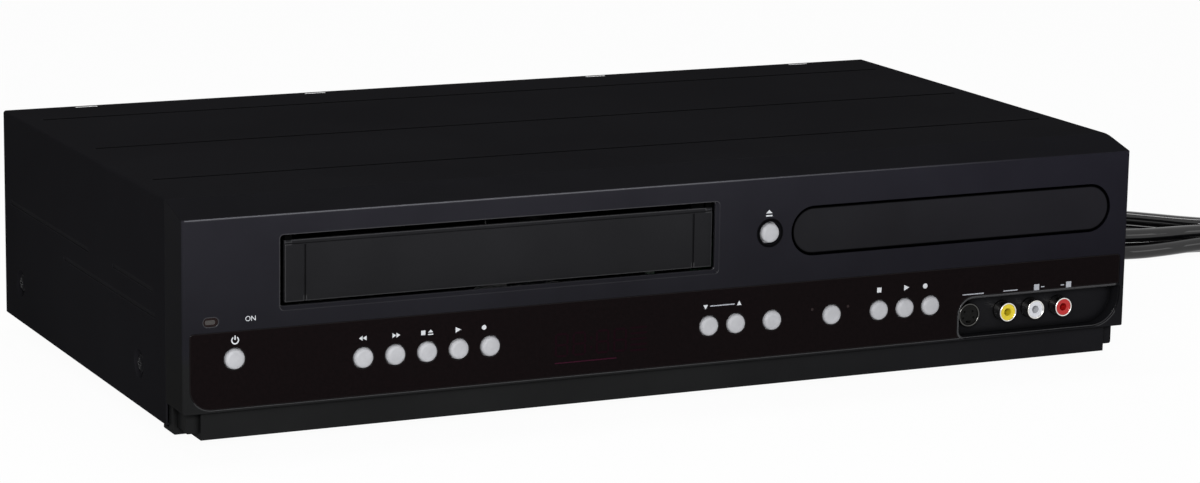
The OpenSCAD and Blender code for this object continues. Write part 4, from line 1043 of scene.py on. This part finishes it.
def add_display_figures():
    """The display's unlit figures and its base line, dim behind the smoked window."""
    mesh = bmesh.new()
    for x in FIGURES_X:
        for across, up, upright in STROKES:
            at = (x + FIGURE_HALF_WIDE * across, FIGURES_Z + FIGURE_HALF_HIGH * up)
            size = (STROKE_WIDE, 3.9) if upright else (4.3, STROKE_WIDE)
            bar(mesh, at, *size)
    for z in (FIGURES_Z - 2, FIGURES_Z + 2):
        shape(mesh, 4, 0.7, (-41.2, z), 45)
    for i in range(5):
        bar(mesh, (-19.5, 26.2 + 2.4 * i), 7.5, 0.7)
    printed(mesh, "display_figures", WINDOW_FACE, DIM_FIGURES, "display_glass", DIM_THICK)
    mesh = bmesh.new()
    bar(mesh, (-43.5, 23.7), 28, 0.45)
    printed(mesh, "display_line", WINDOW_FACE, DIM_LINE, "display_glass", DIM_THICK)


add_window_signs()
add_source_lamps()
add_window_rules()
add_face_signs()
add_display_figures()


# ---------------------------------------------------------------- small metal and lamp parts

JACK_Z = 27.1
# Each sleeve's x, outer and inner radius, and its front and back behind the face
SLEEVES = [(159.1 + 14.1 * i, 4.15, 3.55, 1.2, 17.0) for i in range(3)]
SLEEVES.append((140.4, 5.2, 4.4, 2.6, 8.5))
TABS_X = (-180, -71, 71, 180)
TAB_Y = 235.7  # behind the face
SHEARED = 0.16  # the bare metal's thickness on a tab


def add_jack_shells():
    """The plated sleeves of the front jacks, each with a rolled lip."""
    mesh = bmesh.new()
    for x, outside, bore, front, back in SLEEVES:
        roll = (outside - bore) / 2
        line = [(outside, back), (outside, front + roll)]
        line += [
            ((outside + bore) / 2 + roll * math.cos(a), front + roll - roll * math.sin(a))
            for a in (math.pi * i / 8 for i in range(1, 8))
        ]
        line += [(bore, front + roll), (bore, back)]
        verts = [mesh.verts.new((r, y, 0)) for r, y in line]
        rim = [mesh.edges.new(pair) for pair in zip(verts, verts[1:] + verts[:1])]
        known = set(mesh.verts) - set(verts)
        bmesh.ops.spin(
            mesh,
            geom=verts + rim,
            axis=(0, 1, 0),
            cent=(0, 0, 0),
            angle=2 * math.pi,
            steps=48,
            use_merge=True,
        )
        made = [v for v in mesh.verts if v not in known]
        bmesh.ops.translate(mesh, vec=(x, 0, JACK_Z), verts=made)
    place = Matrix.Translation((0, FRONT, 0)) @ Matrix.Diagonal((MM, MM, MM, 1))
    bmesh.ops.transform(mesh, matrix=place, verts=mesh.verts)
    shells = smooth(piece("jack_sleeves", mesh, "jack_metal", nickel_sleeve()))
    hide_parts("jack_shells")


def add_lamp_bar():
    """The power lamp's inner bar, seen through its lens."""
    mesh = bmesh.new()
    bar(mesh, (LENS[0] - 0.3, LENS[2]), 4.2, 1.8)
    softened(mesh, list(mesh.verts), 0.7, 4, "VERTICES")
    printed(mesh, "lamp_bar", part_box("power_lens")[0][1], LAMP_BAR, "lens_plastic", LAMP_THICK)


def add_bare_tabs():
    """The bare sheared tops of the four tabs that hold the cover at the back."""
    mesh = bmesh.new()
    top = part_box("rear_panel")[1][2]
    for x in TABS_X:
        middle = (x * MM, FRONT + TAB_Y * MM, top + SHEARED / 2 * MM)
        tab = block(mesh, (10 * MM, 1.0 * MM, SHEARED * MM), middle)
        softened(mesh, edges_of(tab), 0.05 * MM, 2)
    piece("bare_tabs", mesh, "zinc_steel", BARE_EDGE)


add_jack_shells()
add_lamp_bar()
add_bare_tabs()


# ---------------------------------------------------------------- CAD nodes

SLOT_OF = {s["node"]: s["material_slot"] for s in frame["record"]["subparts"]}
for node_name, obj in frame["nodes"].items():
    obj.data.materials.clear()
    obj.data.materials.append(FINISHES[SLOT_OF[node_name]])


# ---------------------------------------------------------------- floor and light

FLOOR_WHITE = 0.96  # how white the floor looks; the rest of it takes light and shadow


def looked_at(tree):
    """One where something is seen, itself or in a reflection, and nothing where it lights."""
    rays = add(tree, "ShaderNodeLightPath").outputs
    through = worked(tree, "MAXIMUM", rays["Is Camera Ray"], rays["Is Transmission Ray"])
    return worked(tree, "MAXIMUM", rays["Is Glossy Ray"], through)


def add_floor():
    """A pale floor that looks nearly white by itself and still takes the object's shadow."""
    mesh = bmesh.new()
    bmesh.ops.create_grid(mesh, x_segments=1, y_segments=1, size=6)
    data = bpy.data.meshes.new("floor")
    mesh.to_mesh(data)
    mesh.free()
    floor = bpy.data.objects.new("floor", data)
    bpy.context.scene.collection.objects.link(floor)
    material, tree, shader = nodes_of("floor")
    shader.inputs["Base Color"].default_value = (0.86, 0.86, 0.86, 1)
    shader.inputs["Roughness"].default_value = 0.9
    white = add(tree, "ShaderNodeEmission", Color=(1, 1, 1, 1), Strength=1.0)
    mix = add(tree, "ShaderNodeMixShader")
    tree.links.new(worked(tree, "MULTIPLY", looked_at(tree), FLOOR_WHITE), mix.inputs["Fac"])
    tree.links.new(shader.outputs["BSDF"], mix.inputs[1])
    tree.links.new(white.outputs["Emission"], mix.inputs[2])
    tree.links.new(mix.outputs["Shader"], tree.nodes["Material Output"].inputs["Surface"])
    data.materials.append(material)


def add_light(name, at, towards, size, watts):
    data = bpy.data.lights.new(name, "AREA")
    data.shape = "RECTANGLE"
    data.size, data.size_y = size
    data.energy = watts
    light = bpy.data.objects.new(name, data)
    aim = Vector(towards) - Vector(at)
    light.rotation_euler = aim.to_track_quat("-Z", "Y").to_euler()
    light.location = at
    bpy.context.scene.collection.objects.link(light)


def add_world():
    """A white surround to look at, and a weak cool light from the room."""
    world = bpy.data.worlds.new("studio")
    bpy.context.scene.world = world
    world.use_nodes = True
    tree = world.node_tree
    seen = tree.nodes["Background"]
    seen.inputs["Color"].default_value = (1, 1, 1, 1)
    seen.inputs["Strength"].default_value = 1.0
    room = add(tree, "ShaderNodeBackground", Color=(0.9, 0.93, 1.0, 1), Strength=0.12)
    mix = add(tree, "ShaderNodeMixShader")
    tree.links.new(looked_at(tree), mix.inputs["Fac"])
    tree.links.new(room.outputs["Background"], mix.inputs[1])
    tree.links.new(seen.outputs["Background"], mix.inputs[2])
    tree.links.new(mix.outputs["Shader"], tree.nodes["World Output"].inputs["Surface"])


add_floor()
add_world()
add_light("key", (-0.62, -1.35, 0.5), (-0.05, -0.12, 0.06), (0.6, 0.5), 23.5)
add_light("fill", (0.9, -1.9, 0.7), (0, 0, 0.05), (0.9, 0.7), 2.5)
add_light("overhead", (0.1, 0.3, 2.0), (0, 0, 0), (1.6, 0.22), 16)
bpy.context.scene.view_settings.view_transform = "Standard"
